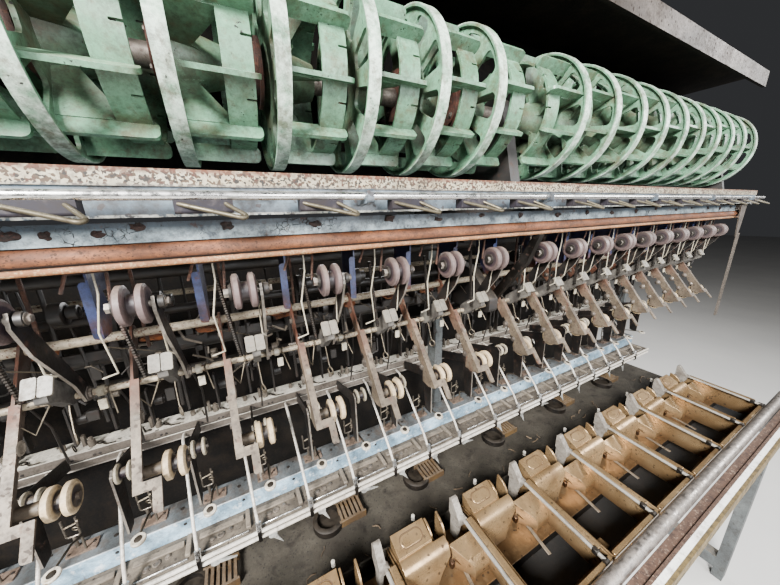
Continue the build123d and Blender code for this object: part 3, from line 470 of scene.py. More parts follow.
def bracket_finish():
    """Bent bracket: rusty where it hangs from its rod, dusty beige below, with streaks of rust, and painted
    shade on the sides that face +X.
    """
    made = Finish("bent_bracket_steel", (0.19, 0.16, 0.125), 0.55, 0.2)
    made.layer(made.patches(0.42, 0.62, 30, 5, 0.65), (0.29, 0.25, 0.20))
    high = made.border("Z", 1.165, 1.225)
    made.layer(
        (high, made.patches(0.34, 0.52, 30, 5, 0.7, offset=2.0), 0.9), (0.25, 0.115, 0.06), 0.85, 0.0
    )
    streak = made.patches(0.55, 0.68, 60, 6, 0.7, (1, 1, 0.3), 6.0)
    made.layer((streak, 0.75), (0.22, 0.11, 0.065), 0.85, 0.0)
    # Sides facing +X: painted shade
    side = made.times(made.facing("X", 0.5, 0.9), 0.75)
    made.layer(side, (0.13, 0.105, 0.085), 0.75)
    made.layer((made.flecks(300, 0.10, offset=3.0), 0.6), (0.08, 0.05, 0.04), 0.85)
    made.relief(made.noise(180, 5), 0.6)
    return made.done(0.0005, 0.5)


def eyelet_finish():
    """Glazed ceramic ring on a dull wire arm."""
    made = Finish("eyelet_glaze_and_wire", (0.62, 0.59, 0.53), 0.22)
    made.layer(made.patches(0.52, 0.66, 60, 5, 0.65), (0.42, 0.37, 0.30), 0.4)
    arm = made.border("Y", 0.0775, 0.0785)
    made.layer(arm, (0.38, 0.35, 0.31), 0.4, 0.9)
    made.layer((made.patches(0.56, 0.66, 90, 5, 0.7, offset=4.0), 0.7), (0.16, 0.12, 0.09), 0.7)
    return made.done(0.0004, 0.4)


def stirrup_finish():
    """Dull wires on a brown, patchy foot plate, with spots of rust."""
    made = Finish("stirrup_wire_and_foot", (0.42, 0.39, 0.35), 0.35, 0.9)
    foot = made.border("Z", 0.8522, 0.8512)
    made.layer(foot, (0.25, 0.20, 0.165), 0.7, 0.0)
    made.layer((foot, made.patches(0.46, 0.64, 80, 5, 0.7), 0.8), (0.38, 0.31, 0.26), 0.75)
    made.layer((made.patches(0.58, 0.66, 120, 5, 0.7, offset=4.0), 0.7), (0.14, 0.085, 0.06), 0.8, 0.0)
    made.relief(made.noise(160, 4), 0.4)
    return made.done(0.0004, 0.4)


def arm_finish():
    """Dark plates of the wheel arms with thin rubbed edges."""
    made = Finish("wheel_arm_dark_steel", (0.030, 0.031, 0.034), 0.4, 0.4)
    made.layer(made.patches(0.46, 0.64, 26, 5, 0.7), (0.075, 0.070, 0.068), 0.4)
    edge = made.facing("X", 0.5, 0.15)
    front = made.facing("Y", -0.35, -0.7)
    made.layer((edge, front, 0.75), (0.46, 0.43, 0.39), 0.4)
    made.layer((made.patches(0.56, 0.66, 80, 5, 0.7, offset=4.0), 0.6), (0.20, 0.12, 0.08), 0.8, 0.0)
    made.relief(made.noise(160, 4), 0.4)
    return made.done(0.0004, 0.4)


def beam_finish():
    """Beam with white dust and a painted highlight on top, streaked grey brown in front, with a dark groove
    and a pale edge.
    """
    made = Finish("beam_streaked_paint", (0.24, 0.215, 0.19), 0.55)
    made.layer(made.patches(0.40, 0.62, 30, 5, 0.6, (0.12, 1, 1)), (0.34, 0.31, 0.28))
    made.layer((made.patches(0.54, 0.66, 50, 6, 0.7, offset=2.0), 0.75), (0.12, 0.095, 0.08), 0.7)
    edge = made.times(made.border("Z", 0.9645, 0.9625), made.facing("Y", -0.5, -0.9))
    made.layer((edge, 0.8), (0.55, 0.52, 0.48), 0.5)
    groove = made.times(made.border("Z", 0.9762, 0.9768), made.border("Z", 0.9798, 0.9792))
    made.layer((groove, 0.85), (0.045, 0.04, 0.035), 0.8)
    # Top faces: white dust together with a painted highlight
    top = made.facing("Z", 0.5, 0.9)
    made.layer((top, 0.97), (0.80, 0.77, 0.70), 0.9)
    made.layer((top, made.patches(0.54, 0.64, 40, 6, 0.75, offset=5.0), 0.7), (0.44, 0.40, 0.34), 0.95)
    made.layer((top, made.flecks(150, 0.035, offset=1.0), 0.9), (0.10, 0.08, 0.06), 0.9)
    made.relief(made.noise(240, 5), 0.6)
    return made.done(0.0006, 0.5)


def bar_finish():
    """Channel with a pale blue face, scuffed white in clouds, and a grey, dusty top."""
    made = Finish("blue_bar_paint", (0.30, 0.395, 0.46), 0.35)
    made.layer(made.patches(0.44, 0.62, 22, 6, 0.65, (0.6, 1, 1)), (0.50, 0.62, 0.70))
    made.layer((made.patches(0.56, 0.64, 60, 6, 0.72, offset=4.0), 0.8), (0.70, 0.74, 0.76))
    made.layer((made.patches(0.60, 0.68, 80, 6, 0.72, (1, 1, 0.5), 7.0), 0.75), (0.22, 0.13, 0.085), 0.8)
    top = made.facing("Z", 0.5, 0.9)
    made.layer((top, 0.9), (0.21, 0.21, 0.205), 0.5)
    made.layer((top, made.patches(0.48, 0.64, 35, 6, 0.7, offset=1.0), 0.8), (0.20, 0.165, 0.135), 0.85)
    edge = made.times(made.border("Z", 0.8466, 0.8476), made.border("Y", 0.1245, 0.1232))
    made.layer((edge, 0.7), (0.66, 0.69, 0.70), 0.45)
    made.relief(made.noise(240, 5), 0.5)
    return made.done(0.0005, 0.5)


def tray_finish():
    """Tray under thick grey brown dust; the fingers below its flange are clouded white."""
    made = Finish("tray_dusty_paint", (0.17, 0.15, 0.125), 0.7)
    made.layer(made.patches(0.42, 0.62, 22, 6, 0.7), (0.28, 0.25, 0.21), 0.9)
    made.layer((made.patches(0.55, 0.66, 60, 6, 0.7, offset=3.0), 0.85), (0.09, 0.07, 0.055), 0.85)
    made.layer((made.flecks(260, 0.06, offset=2.0), 0.8), (0.06, 0.045, 0.035), 0.9)
    finger = made.border("Z", 0.7885, 0.7878)
    made.layer(finger, (0.48, 0.48, 0.46), 0.3)
    made.layer((finger, made.patches(0.46, 0.6, 60, 5, 0.7, offset=6.0), 0.6), (0.27, 0.26, 0.25), 0.45)
    made.relief(made.noise(160, 5), 0.8)
    return made.done(0.0008, 0.6)


def basin_finish():
    """Trough and pan under olive brown silt with wet patches and specks, and near black painted shade under
    the feeders.
    """
    made = Finish("basin_olive_silt", (0.10, 0.091, 0.072), 0.7)
    made.layer(made.patches(0.42, 0.62, 9, 6, 0.65), (0.145, 0.132, 0.107), 0.85)
    made.layer((made.patches(0.52, 0.66, 34, 6, 0.72, offset=2.0), 0.85), (0.045, 0.037, 0.028), 0.6)
    made.layer((made.patches(0.60, 0.68, 120, 5, 0.7, offset=5.0), 0.7), (0.17, 0.15, 0.12), 0.9)
    made.layer((made.flecks(420, 0.05, offset=1.0), 0.9), (0.035, 0.025, 0.02), 0.85)
    # Towards the front, under the feeders: painted shade, near black
    front = made.border("Y", -0.168, -0.180)
    made.layer((front, 0.95), (0.012, 0.008, 0.005), 0.7)
    made.relief(made.noise(70, 7, 0.75), 1.0)
    return made.done(0.002, 0.7)


def ledge_finish():
    """Rough brown strip behind, white ledge in front with scuffs and an olive brown edge."""
    made = Finish("ledge_brown_and_white", (0.88, 0.87, 0.84), 0.4)
    made.layer((made.patches(0.52, 0.66, 30, 6, 0.7), 0.7), (0.34, 0.29, 0.25), 0.6)
    olive = made.border("Y", -0.3468, -0.3474)
    made.layer(olive, (0.30, 0.24, 0.13), 0.6)
    made.layer((olive, made.patches(0.44, 0.6, 60, 6, 0.7, offset=8.0)), (0.16, 0.13, 0.07), 0.8)
    strip = made.border("Y", -0.3378, -0.3372)
    made.layer(strip, (0.20, 0.135, 0.10), 0.9)
    made.layer((strip, made.patches(0.46, 0.6, 90, 6, 0.75, offset=3.0), 0.85), (0.10, 0.06, 0.045), 0.9)
    made.layer((strip, made.patches(0.56, 0.64, 150, 5, 0.75, offset=6.0), 0.8), (0.42, 0.34, 0.28), 0.9)
    made.relief(made.noise(200, 6, 0.75), 0.8)
    return made.done(0.001, 0.6, grime=0.25)


def feeder_gold():
    """Tan gold moulding: bright and glossy, darker brown towards its floor as painted shade, dusty on top."""
    made = Finish("feeder_gold_moulding", (0.43, 0.33, 0.215), 0.24, 0.68)
    made.layer(made.patches(0.40, 0.65, 10, 5, 0.6), (0.56, 0.45, 0.31))
    # Towards the floor of the tray: painted shade, darker brown
    floor = made.border("Z", 0.772, 0.749)
    made.layer((floor, 0.85), (0.25, 0.18, 0.115), 0.34)
    smear = made.patches(0.54, 0.72, 26, 6, 0.72, (1, 0.4, 1), 4.4)
    made.layer((smear, 0.65), (0.27, 0.195, 0.125), 0.42)
    made.layer((made.flecks(260, 0.035, offset=1.7), 0.8), (0.07, 0.045, 0.028), 0.7)
    settled = made.times(
        made.facing("Z", 0.7, 0.98), made.patches(0.48, 0.66, 60, 5, 0.7, offset=8.0), 0.35
    )
    made.layer(settled, (0.46, 0.37, 0.26), 0.6)
    made.relief(made.noise(26, 4, 0.5), 0.8)
    return made.done(0.0007, 0.35, grime=0.25)


def lever_finish():
    """Whitish grey casting, and the bright steel rod that goes out from it."""
    made = Finish("lever_casting_and_rod", (0.62, 0.60, 0.56), 0.22, 0.55)
    made.layer((made.patches(0.54, 0.66, 70, 6, 0.7, (1, 0.3, 1)), 0.6), (0.26, 0.22, 0.18), 0.45)
    casting = made.border("Y", -0.1225, -0.1195)
    made.layer(casting, (0.38, 0.36, 0.33), 0.5, 0.1)
    dirt = made.patches(0.48, 0.62, 80, 6, 0.75, offset=4.0)
    made.layer((casting, dirt, 0.75), (0.22, 0.19, 0.16), 0.75, 0.0)
    made.relief(made.noise(140, 5, 0.7), 0.6)
    return made.done(0.0006, 0.5)


def slate_paint():
    """Slate blue plates, their front faces paler in patches as painted light, rusty along the lower edge and
    in spots.
    """
    made = Finish("slate_blue_paint", (0.060, 0.080, 0.165), 0.42)
    made.layer(made.patches(0.42, 0.62, 14, 5, 0.6), (0.075, 0.095, 0.19))
    # Faces turned to the front: painted light, paler blue in patches
    flange = made.facing("Y", -0.5, -0.9)
    made.layer((flange, made.patches(0.34, 0.56, 50, 5, 0.65, offset=1.0), 0.8), (0.17, 0.21, 0.36), 0.4)
    low = made.border("Z", 1.302, 1.276)
    made.layer((low, made.patches(0.40, 0.58, 50, 6, 0.7, offset=3.0)), (0.30, 0.17, 0.12), 0.85)
    made.layer((made.patches(0.58, 0.66, 90, 6, 0.72, offset=6.0), 0.8), (0.26, 0.14, 0.09), 0.85)
    made.relief(made.noise(180, 5), 0.4)
    return made.done(0.0005, 0.5)


def hook_finish():
    """Thread guides of the traverse: blocks black with oil, wires bronze grey."""
    made = Finish("hook_oily_blocks_and_wire", (0.06, 0.055, 0.075), 0.6, specular=0.25)
    made.layer(made.patches(0.52, 0.66, 80, 5, 0.7), (0.14, 0.125, 0.13), 0.6)
    wire_part = made.border("Y", -0.1424, -0.1430)
    made.layer(wire_part, (0.27, 0.25, 0.20), 0.4, 0.7)
    made.layer(
        (wire_part, made.patches(0.52, 0.64, 120, 5, 0.7, offset=3.0), 0.6), (0.13, 0.105, 0.08), 0.6
    )
    return made.done()


def hood_finish():
    """Hood: near black inside as painted shade, dark grey on top, with a dull brown steel lip in front,
    mottled and specked.
    """
    # The near black base colour is painted shade inside the hood
    made = Finish("hood_black_and_steel_lip", (0.006, 0.006, 0.006), 0.85, specular=0.1)
    lip = made.facing("Y", -0.5, -0.9)
    made.layer(lip, (0.115, 0.098, 0.085), 0.4, 0.4)
    made.layer((lip, made.patches(0.44, 0.62, 12, 6, 0.7, (0.4, 1, 1))), (0.19, 0.165, 0.145), 0.35)
    made.layer((lip, made.flecks(260, 0.05), 0.7), (0.06, 0.035, 0.025), 0.8)
    top = made.times(made.facing("Z", 0.5, 0.9), 0.9)
    made.layer(top, (0.12, 0.115, 0.11), 0.7)
    return made.done()


def cover_finish():
    """Rear covers: near black inside as painted shade, grey paint with scuffs and drips of dirt on the back.
    """
    # The near black base colour is painted shade on the faces turned into the machine
    made = Finish("rear_cover_paint", (0.010, 0.010, 0.010), 0.8, specular=0.15)
    back = made.facing("Y", 0.5, 0.9)
    made.layer(back, (0.20, 0.22, 0.22), 0.45)
    made.layer((back, made.patches(0.42, 0.62, 5, 6, 0.65)), (0.27, 0.285, 0.28), 0.4)
    drips = made.patches(0.54, 0.70, 30, 6, 0.7, (1, 1, 0.08), 2.0)
    made.layer((back, drips, 0.7), (0.12, 0.105, 0.09), 0.7)
    scuffs = made.patches(0.60, 0.68, 60, 6, 0.75, (0.3, 1, 1), 5.0)
    made.layer((back, scuffs, 0.8), (0.36, 0.35, 0.33), 0.5)
    made.relief(made.noise(90, 5, 0.6), 0.5)
    return made.done(0.0006, 0.4)


green = reel_paint()
green_edge = reel_edge()
slate = slate_paint()
gold = feeder_gold()
bright_steel = worn_metal("bright_steel", (0.86, 0.86, 0.85), (0.50, 0.46, 0.42), 0.18, 0.15, 0.15)
rod_steel = dusty_paint(
    "rubbed_rod_steel", (0.60, 0.57, 0.52), (0.68, 0.66, 0.62), (0.36, 0.31, 0.25), 0.24, 0.15
)
dull_steel = worn_metal("dull_steel", (0.42, 0.39, 0.36), (0.15, 0.115, 0.09), 0.42, 0.7)
dark_steel = worn_metal("dark_steel", (0.10, 0.095, 0.09), (0.04, 0.035, 0.03), 0.5, 0.6)
bronze_wire = worn_metal("bronze_grey_wire", (0.34, 0.31, 0.26), (0.14, 0.115, 0.085), 0.38, 0.6)
enamel = dusty_paint(
    "white_enamel_wire", (0.44, 0.41, 0.34), (0.56, 0.53, 0.46), (0.20, 0.12, 0.08), 0.35, 0.3
)
rusty_wire = rust("rusty_wire", (0.20, 0.105, 0.065), (0.10, 0.055, 0.037), (0.34, 0.25, 0.19), 90)
lump_rust = rust("lump_rust", (0.105, 0.048, 0.032), (0.045, 0.022, 0.016), (0.22, 0.11, 0.07), 200)
ochre_rust = rust("ochre_rust", (0.36, 0.17, 0.06), (0.17, 0.075, 0.035), (0.48, 0.28, 0.13), 60)
disc_rust = rust("disc_brown_rust", (0.20, 0.085, 0.05), (0.085, 0.04, 0.028), (0.30, 0.16, 0.10), 50)
casting = dusty_paint("dark_casting", (0.05, 0.05, 0.05), (0.085, 0.08, 0.078), (0.14, 0.08, 0.055), 0.5)
frame_paint = dusty_paint(
    "frame_grey_paint", (0.19, 0.205, 0.21), (0.25, 0.265, 0.265), (0.10, 0.08, 0.07), 0.5
)
tube_paint = worn_metal("front_tube_steel", (0.62, 0.59, 0.565), (0.42, 0.38, 0.35), 0.28, 0.6, 0.3)
clutter_dark = dusty_paint(
    "oily_dark_parts",
    (0.035, 0.032, 0.030),
    (0.070, 0.062, 0.055),
    (0.11, 0.065, 0.042),
    0.45,
    0.5,
    (0.13, 0.11, 0.09),
)
clutter_pale = dusty_paint(
    "dusty_pale_parts", (0.22, 0.195, 0.165), (0.31, 0.28, 0.24), (0.085, 0.06, 0.045), 0.6, 0.6
)
black_cap = dusty_paint(
    "black_clip",
    (0.008, 0.008, 0.008),
    (0.015, 0.015, 0.015),
    (0.03, 0.026, 0.022),
    0.45,
    0.1,
    specular=0.25,
)
white_cap = dusty_paint("white_peg", (0.70, 0.68, 0.62), (0.76, 0.74, 0.70), (0.40, 0.32, 0.25), 0.4, 0.15)
feeder_line = dusty_paint(
    "pad_outline_brown", (0.14, 0.075, 0.032), (0.20, 0.115, 0.052), (0.06, 0.035, 0.02), 0.5, 0.1
)
dark_bronze = worn_metal("dark_bronze", (0.20, 0.13, 0.08), (0.08, 0.05, 0.03), 0.4, 0.6, 0.2)
lever_grey = dusty_paint(
    "grey_strip", (0.24, 0.20, 0.155), (0.32, 0.27, 0.21), (0.12, 0.085, 0.055), 0.45, 0.3
)
waste_silk = dusty_paint(
    "waste_fibre", (0.20, 0.155, 0.105), (0.28, 0.225, 0.16), (0.10, 0.07, 0.045), 0.9, 0.2
)
grid_yellow = dusty_paint(
    "strainer_yellow", (0.17, 0.115, 0.05), (0.23, 0.165, 0.08), (0.05, 0.035, 0.02), 0.6, 0.3
)
cream_paint = flaked_paint(
    "cream_rod_paint", (0.40, 0.355, 0.28), (0.52, 0.47, 0.39), (0.24, 0.13, 0.08), 0.12
)

node_finish = {
    "frame_posts": frame_paint,
    "table_frame": frame_paint,
    "reel_brackets": casting,
    "rod_arms": casting,
    "hood": hood_finish(),
    "back_panel": cover_finish(),
    "reel_shaft": dull_steel,
    "friction_discs": disc_rust,
    "reel_rail": rail_paint(),
    "guide_panel": guide_paint(),
    "traverse_rod": bright_steel,
    "guide_hooks": hook_finish(),
    "lower_rail": peeling_rail_paint(),
    "rail_pipe": pipe_rust(),
    "pipe_arm": dark_steel,
    "hanging_strap": dull_steel,
    "partition_plates": slate,
    "upper_wheels": wheel_moulding(
        "mauve_wheel", upper_wheel, (0.20, 0.155, 0.15), (0.10, 0.078, 0.09), 11, 20.5
    ),
    "lower_wheels": wheel_moulding(
        "ivory_wheel", lower_wheel, (0.52, 0.44, 0.32), (0.040, 0.028, 0.042), 9, 17
    ),
    "small_wheels": wheel_moulding(
        "pale_wheel", small_wheel, (0.50, 0.46, 0.38), (0.060, 0.043, 0.065), 8, 15
    ),
    "wheel_arms": arm_finish(),
    "thread_guides": thread_guide_finish(),
    "cross_rods": cream_paint,
    "l_brackets": bracket_finish(),
    "beam": beam_finish(),
    "blue_bar": bar_finish(),
    "stirrups": stirrup_finish(),
    "eyelets": eyelet_finish(),
    "front_rods": rod_steel,
    "connecting_rods": rod_steel,
    "rod_tray": tray_finish(),
    "basin": basin_finish(),
    "front_tube": tube_paint,
    "front_ledges": ledge_finish(),
    "feeder_rails": dark_steel,
    "feeder_trays": gold,
    "feeder_walls": gold,
    "feeder_heads": gold,
    "feeder_levers": lever_finish(),
    "feeder_bars": gold,
}
for reel in reel_nodes:
    node_finish[reel] = green


def coat(piece, *finishes):
    """Gives an object these materials and no others."""
    piece.data.materials.clear()
    for finish in finishes:
        piece.data.materials.append(finish)


for node_name, node in frame["nodes"].items():
    coat(node, node_finish[node_name])


# Modelling: pieces are given in millimetres


def clear_selection():
    bpy.ops.object.select_all(action="DESELECT")


def select_only(*pieces):
    clear_selection()
    for piece in pieces:
        piece.select_set(True)
    bpy.context.view_layer.objects.active = pieces[0]


def select_faces(piece, wanted):
    """In edit mode, selects the faces that pass a test."""
    bpy.ops.mesh.select_mode(type="FACE")
    bpy.ops.mesh.select_all(action="DESELECT")
    mesh = bmesh.from_edit_mesh(piece.data)
    for face in mesh.faces:
        face.select = wanted(face)
    mesh.select_flush_mode()
    bmesh.update_edit_mesh(piece.data)


def place_on(piece, foot, axis):
    """Turns a piece from +Z to an axis, moves its foot there and settles it."""
    select_only(piece)
    piece.rotation_euler = Vector(axis).to_track_quat("Z", "Y").to_euler()
    piece.location = Vector(foot) / 1000
    bpy.ops.object.transform_apply(location=True, rotation=True, scale=True)


def plate(low, high, edge=0.5):
    """Flat bar between two corners, with its edges broken."""
    clear_selection()
    low, high = Vector(low) / 1000, Vector(high) / 1000
    bpy.ops.mesh.primitive_cube_add(size=1, location=(low + high) / 2)
    piece = bpy.context.object
    piece.scale = high - low
    bpy.ops.object.transform_apply(location=True, rotation=True, scale=True)
    bpy.ops.object.mode_set(mode="EDIT")
    bpy.ops.mesh.select_all(action="SELECT")
    bpy.ops.mesh.bevel(offset=edge / 1000, segments=1)
    bpy.ops.object.mode_set(mode="OBJECT")
    return piece


def turned(foot, axis, radius, length, dish=0.0, sides=20):
    """Round piece standing on its foot, with a chamfered end that may be dished."""
    clear_selection()
    bpy.ops.mesh.primitive_cylinder_add(
        vertices=sides, radius=radius / 1000, depth=length / 1000, location=(0, 0, length / 2000)
    )
    piece = bpy.context.object
    bpy.ops.object.transform_apply(location=True, rotation=False, scale=False)
    bpy.ops.object.mode_set(mode="EDIT")
    select_faces(piece, lambda face: face.normal.z > 0.9)
    chamfer = min(0.14 * radius, 0.3 * length)
    bpy.ops.mesh.inset(thickness=chamfer / 1000, depth=0)
    bpy.ops.transform.translate(value=(0, 0, 0.7 * chamfer / 1000))
    if dish:
        bpy.ops.mesh.inset(thickness=0.16 * radius / 1000, depth=0)
        bpy.ops.mesh.extrude_region_move(TRANSFORM_OT_translate={"value": (0, 0, -dish / 1000)})
    bpy.ops.object.mode_set(mode="OBJECT")
    place_on(piece, foot, axis)
    return piece


def bolt(foot, axis, radius, height):
    """Hexagon head on a washer."""
    head = turned(foot, axis, radius, height, sides=6)
    washer = turned(foot, axis, 1.45 * radius, 0.25 * height, sides=14)
    return joined(head, washer)


def wire(points, radius, closed=False, thin=None):
    """Round wire along its points; thin gives each point's share of the radius."""
    clear_selection()
    bpy.ops.curve.primitive_nurbs_path_add()
    route = bpy.context.object.data
    route.splines.clear()
    run = route.splines.new("POLY")
    run.points.add(len(points) - 1)
    for number, (point, place) in enumerate(zip(run.points, points)):
        point.co = (*(Vector(place) / 1000), 1)
        if thin:
            point.radius = thin[number]
    run.use_cyclic_u = closed
    route.dimensions = "3D"
    route.bevel_depth = radius / 1000
    route.bevel_resolution = 1
    route.use_fill_caps = not closed
    bpy.ops.object.convert(target="MESH")
    return bpy.context.object


def ring(centre, axis, radius, gauge, count=14):
    """Closed ring of wire."""
    turn = Vector(axis).to_track_quat("Z", "Y")
    around = [2 * math.pi * number / count for number in range(count)]
    points = [
        Vector(centre) + turn @ Vector((radius * math.cos(a), radius * math.sin(a), 0)) for a in around
    ]
    return wire(points, gauge, closed=True)


def spring(start, end, radius, turns):
    """Close-wound spring, seen as a row of ribs."""
    start, end = Vector(start), Vector(end)
    steps = 2 * turns
    points = [start.lerp(end, number / steps) for number in range(steps + 1)]
    return wire(points, radius, thin=[1.0 if number % 2 else 0.72 for number in range(steps + 1)])


def lump(centre, size, seed, roughen=0.25):
    """Ragged lump of rust or waste."""
    clear_selection()
    bpy.ops.mesh.primitive_ico_sphere_add(subdivisions=2, radius=0.5, location=(0, 0, 0))
    piece = bpy.context.object
    bpy.ops.object.mode_set(mode="EDIT")
    bpy.ops.mesh.select_all(action="SELECT")
    bpy.ops.transform.vertex_random(offset=roughen * 0.5, uniform=0.4, normal=0.6, seed=seed)
    bpy.ops.mesh.subdivide(number_cuts=1, smoothness=0.6)
    bpy.ops.object.mode_set(mode="OBJECT")
    piece.scale = Vector(size) / 1000
    piece.location = Vector(centre) / 1000
    bpy.ops.object.transform_apply(location=True, rotation=True, scale=True)
    return piece


def joined(*pieces):
    """One piece out of several, each with its own material."""
    select_only(*pieces)
    bpy.ops.object.join()
    return pieces[0]


def finished(finish, *pieces):
    """The pieces joined under one material."""
    whole = joined(*pieces) if len(pieces) > 1 else pieces[0]
    coat(whole, finish)
    return whole


def settle(piece, name, body):
    """Names a finished piece, smooths it, and lets it ride."""
    piece.name = name
    piece.data.name = name
    select_only(piece)
    bpy.ops.object.shade_smooth_by_angle(angle=crease_angle)
    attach(piece, body)


def repeat(piece, name, places, body):
    """Copies a piece to its places along X, each copy with its own mesh."""
    for number, place in enumerate(places):
        select_only(piece)
        bpy.ops.object.duplicate()
        copy = bpy.context.object
        copy.location.x = place / 1000
        bpy.ops.object.transform_apply(location=True, rotation=False, scale=False)
        settle(copy, f"{name}_{number + 1:02d}", body)
    bpy.data.objects.remove(piece)


def rounded_copy(name, width, *finishes, segments=2):
    """A merged copy of a node with its hard edges rounded, shown in the node's place."""
    node = frame["nodes"][name]
    copy = bpy.data.objects.new(f"{name}_rounded", node.data.copy())
    bpy.context.scene.collection.objects.link(copy)
    select_only(copy)
    bpy.ops.object.mode_set(mode="EDIT")
    bpy.ops.mesh.select_all(action="SELECT")
    bpy.ops.mesh.remove_doubles(threshold=1e-5)
    bpy.ops.mesh.dissolve_limited(angle_limit=math.radians(1.0))
    bpy.ops.object.mode_set(mode="OBJECT")
    coat(copy, *finishes)
    bpy.ops.object.shade_smooth_by_angle(angle=math.radians(35))
    bpy.ops.object.modifier_add(type="BEVEL")
    edge = copy.modifiers[-1]
    edge.width = width / 1000
    edge.segments = segments
    edge.limit_method = "ANGLE"
    edge.angle_limit = crease_angle
    edge.material = len(finishes) - 1
    bpy.ops.object.modifier_apply(modifier=edge.name)
    bpy.ops.object.modifier_add(type="WEIGHTED_NORMAL")
    copy.modifiers[-1].keep_sharp = True
    bpy.ops.object.modifier_apply(modifier=copy.modifiers[-1].name)
    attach(copy, node["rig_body"])
    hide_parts(name)


# Reels: cast edges rounded and rubbed pale
for reel in reel_nodes:
    rounded_copy(reel, 1.1, green, green_edge)

# Feeders: moulded edges rounded
for name in ("feeder_heads", "feeder_bars", "feeder_walls", "feeder_trays"):
    rounded_copy(name, 0.7, gold)

# Bent brackets, channel and beam: folded and rolled edges broken
rounded_copy("l_brackets", 0.5, node_finish["l_brackets"], segments=1)
rounded_copy("blue_bar", 0.8, node_finish["blue_bar"])
rounded_copy("beam", 0.8, node_finish["beam"])

# Wires in front of each upper wheel: the enamelled guide and its partner, a rusty bridge, a spring and an eye
left_guide = finished(
    enamel,
    wire([(-31, -60, 1379), (-31, -60, 1330), (-39, -60, 1290), (-34, -58, 1243), (-48, -56, 1239)], 1.0),
    wire([(12.5, -62, 1300), (10, -55, 1290), (10, -50, 1254), (14, -42, 1246)], 0.9),
)
bridge = finished(
    rusty_wire,
    wire([(-56, -62, 1334), (-49, -62, 1352), (-49, -62, 1379)], 1.6),
    wire([(-23, -62, 1318), (-20, -62, 1352), (-20, -62, 1379)], 1.6),
    wire([(-49, -62, 1352), (-20, -62, 1352)], 1.4),
)
coil = finished(dark_steel, spring((-31, -40, 1330), (-19, -36, 1222), 3.0, 34))
hanging_eye = finished(
    bronze_wire,
    wire([(0, 1, 1208), (0, -10, 1190), (1, -18, 1166), (2, -20, 1163)], 0.8),
    ring((2, -20, 1157), (1, 0.4, 0), 6, 1.1),
    wire([(-5, -6, 1238), (-40, -30, 1262), (-46, -34, 1266)], 0.6),
)
repeat(joined(left_guide, bridge, coil, hanging_eye), "guide_wires", stations, "frame")

# Dark cups and a nut beside each upper wheel, and a nut on the cream rod
cup = finished(
    clutter_dark,
    turned((-19.5, *upper_wheel), (1, 0, 0), 9, 3),
    turned((17, *upper_wheel), (1, 0, 0), 7, 5),
)
nut = finished(
    dull_steel,
    bolt((22, *upper_wheel), (1, 0, 0), 4, 4),
    bolt((15.6, 1, 1201), (1, 0, 0), 6, 3.5),
)
repeat(joined(cup, nut), "wheel_nuts", stations, "frame")

# Bolts and a turned knob on each bent bracket
bracket_bolts = finished(
    dull_steel,
    bolt((-42, -28, 1160), (-1, 0, 0), 5, 3),
    bolt((-42, -50, 1133), (-1, 0, 0), 4, 3),
    bolt((-42, 25, 1236), (-1, 0, 0), 4, 3),
)
bracket_knob = finished(clutter_pale, turned((-39, -34, 1172), (1, 0, 0), 8, 6, dish=1.5))
repeat(joined(bracket_bolts, bracket_knob), "bracket_bolts", stations, "frame")

# A white collar with its tab and two wire hooks on the cream rod
rod_clip = finished(
    enamel,
    turned((24, *cream_rod), (1, 0, 0), 6.5, 6),
    plate((26, -14, 1183), (34, -11, 1196)),
)
rod_hook = finished(
    bronze_wire,
    ring((-17, 1, 1201), (1, 0.2, 0), 5.4, 1.0),
    wire([(-17, -4, 1198), (-26, -22, 1176), (-33, -24, 1190)], 0.8),
    ring((36, 1, 1201), (1, -0.3, 0), 5.4, 1.0),
    wire([(36, -4, 1199), (42, -18, 1176)], 0.8),
)
repeat(joined(rod_clip, rod_hook), "rod_clips", stations, "frame")

# On the beam: pegs, a bent hook with its eyes, and screws in its front
pegs = finished(
    clutter_pale,
    turned((8, 224, beam_top), (0, 0, 1), 5.5, 12),
    turned((8, 224, beam_top + 12), (0, 0, 1), 3.2, 6),
    turned((-34, 232, beam_top), (0, 0, 1), 4.5, 9),
    plate((-6, 226, beam_top), (-1, 234, beam_top + 22)),
)
beam_hook = finished(
    dark_steel,
    wire([(22, 222, 996.4), (30, 214, 996.6), (44, 212, 997), (46, 207, 1001)], 1.2),
    ring((20, 222, 998), (0.3, 0.2, 1), 4.5, 1.1),
    ring((-14, 219, 1001), (1, 0.3, 0.2), 6, 1.1),
)
screws = finished(
    clutter_dark,
    *[turned((x, beam_front + 0.3, 984), (0, -1, 0), 2.4, 0.7, sides=12) for x in (-26, -18, 12, 20)],
)
repeat(joined(pegs, beam_hook, screws), "beam_fittings", stations, "frame")

# Rollers and levers between the beam and the cream rod
roller = finished(
    clutter_dark,
    turned((-38, 150, 1130), (1, 0, 0), 11, 16, dish=3),
    turned((30, 160, 1088), (1, 0, 0), 9, 12, dish=3),
)
dark_lever = finished(
    clutter_dark,
    plate((-20, 128, 1070), (-16, 140, 1150)),
    plate((24, 140, 1050), (27, 152, 1120)),
    wire([(-2, 168, 1010), (3, 150, 1090), (-4, 128, 1150)], 1.8),
)
repeat(joined(roller, dark_lever), "dark_levers", stations, "frame")

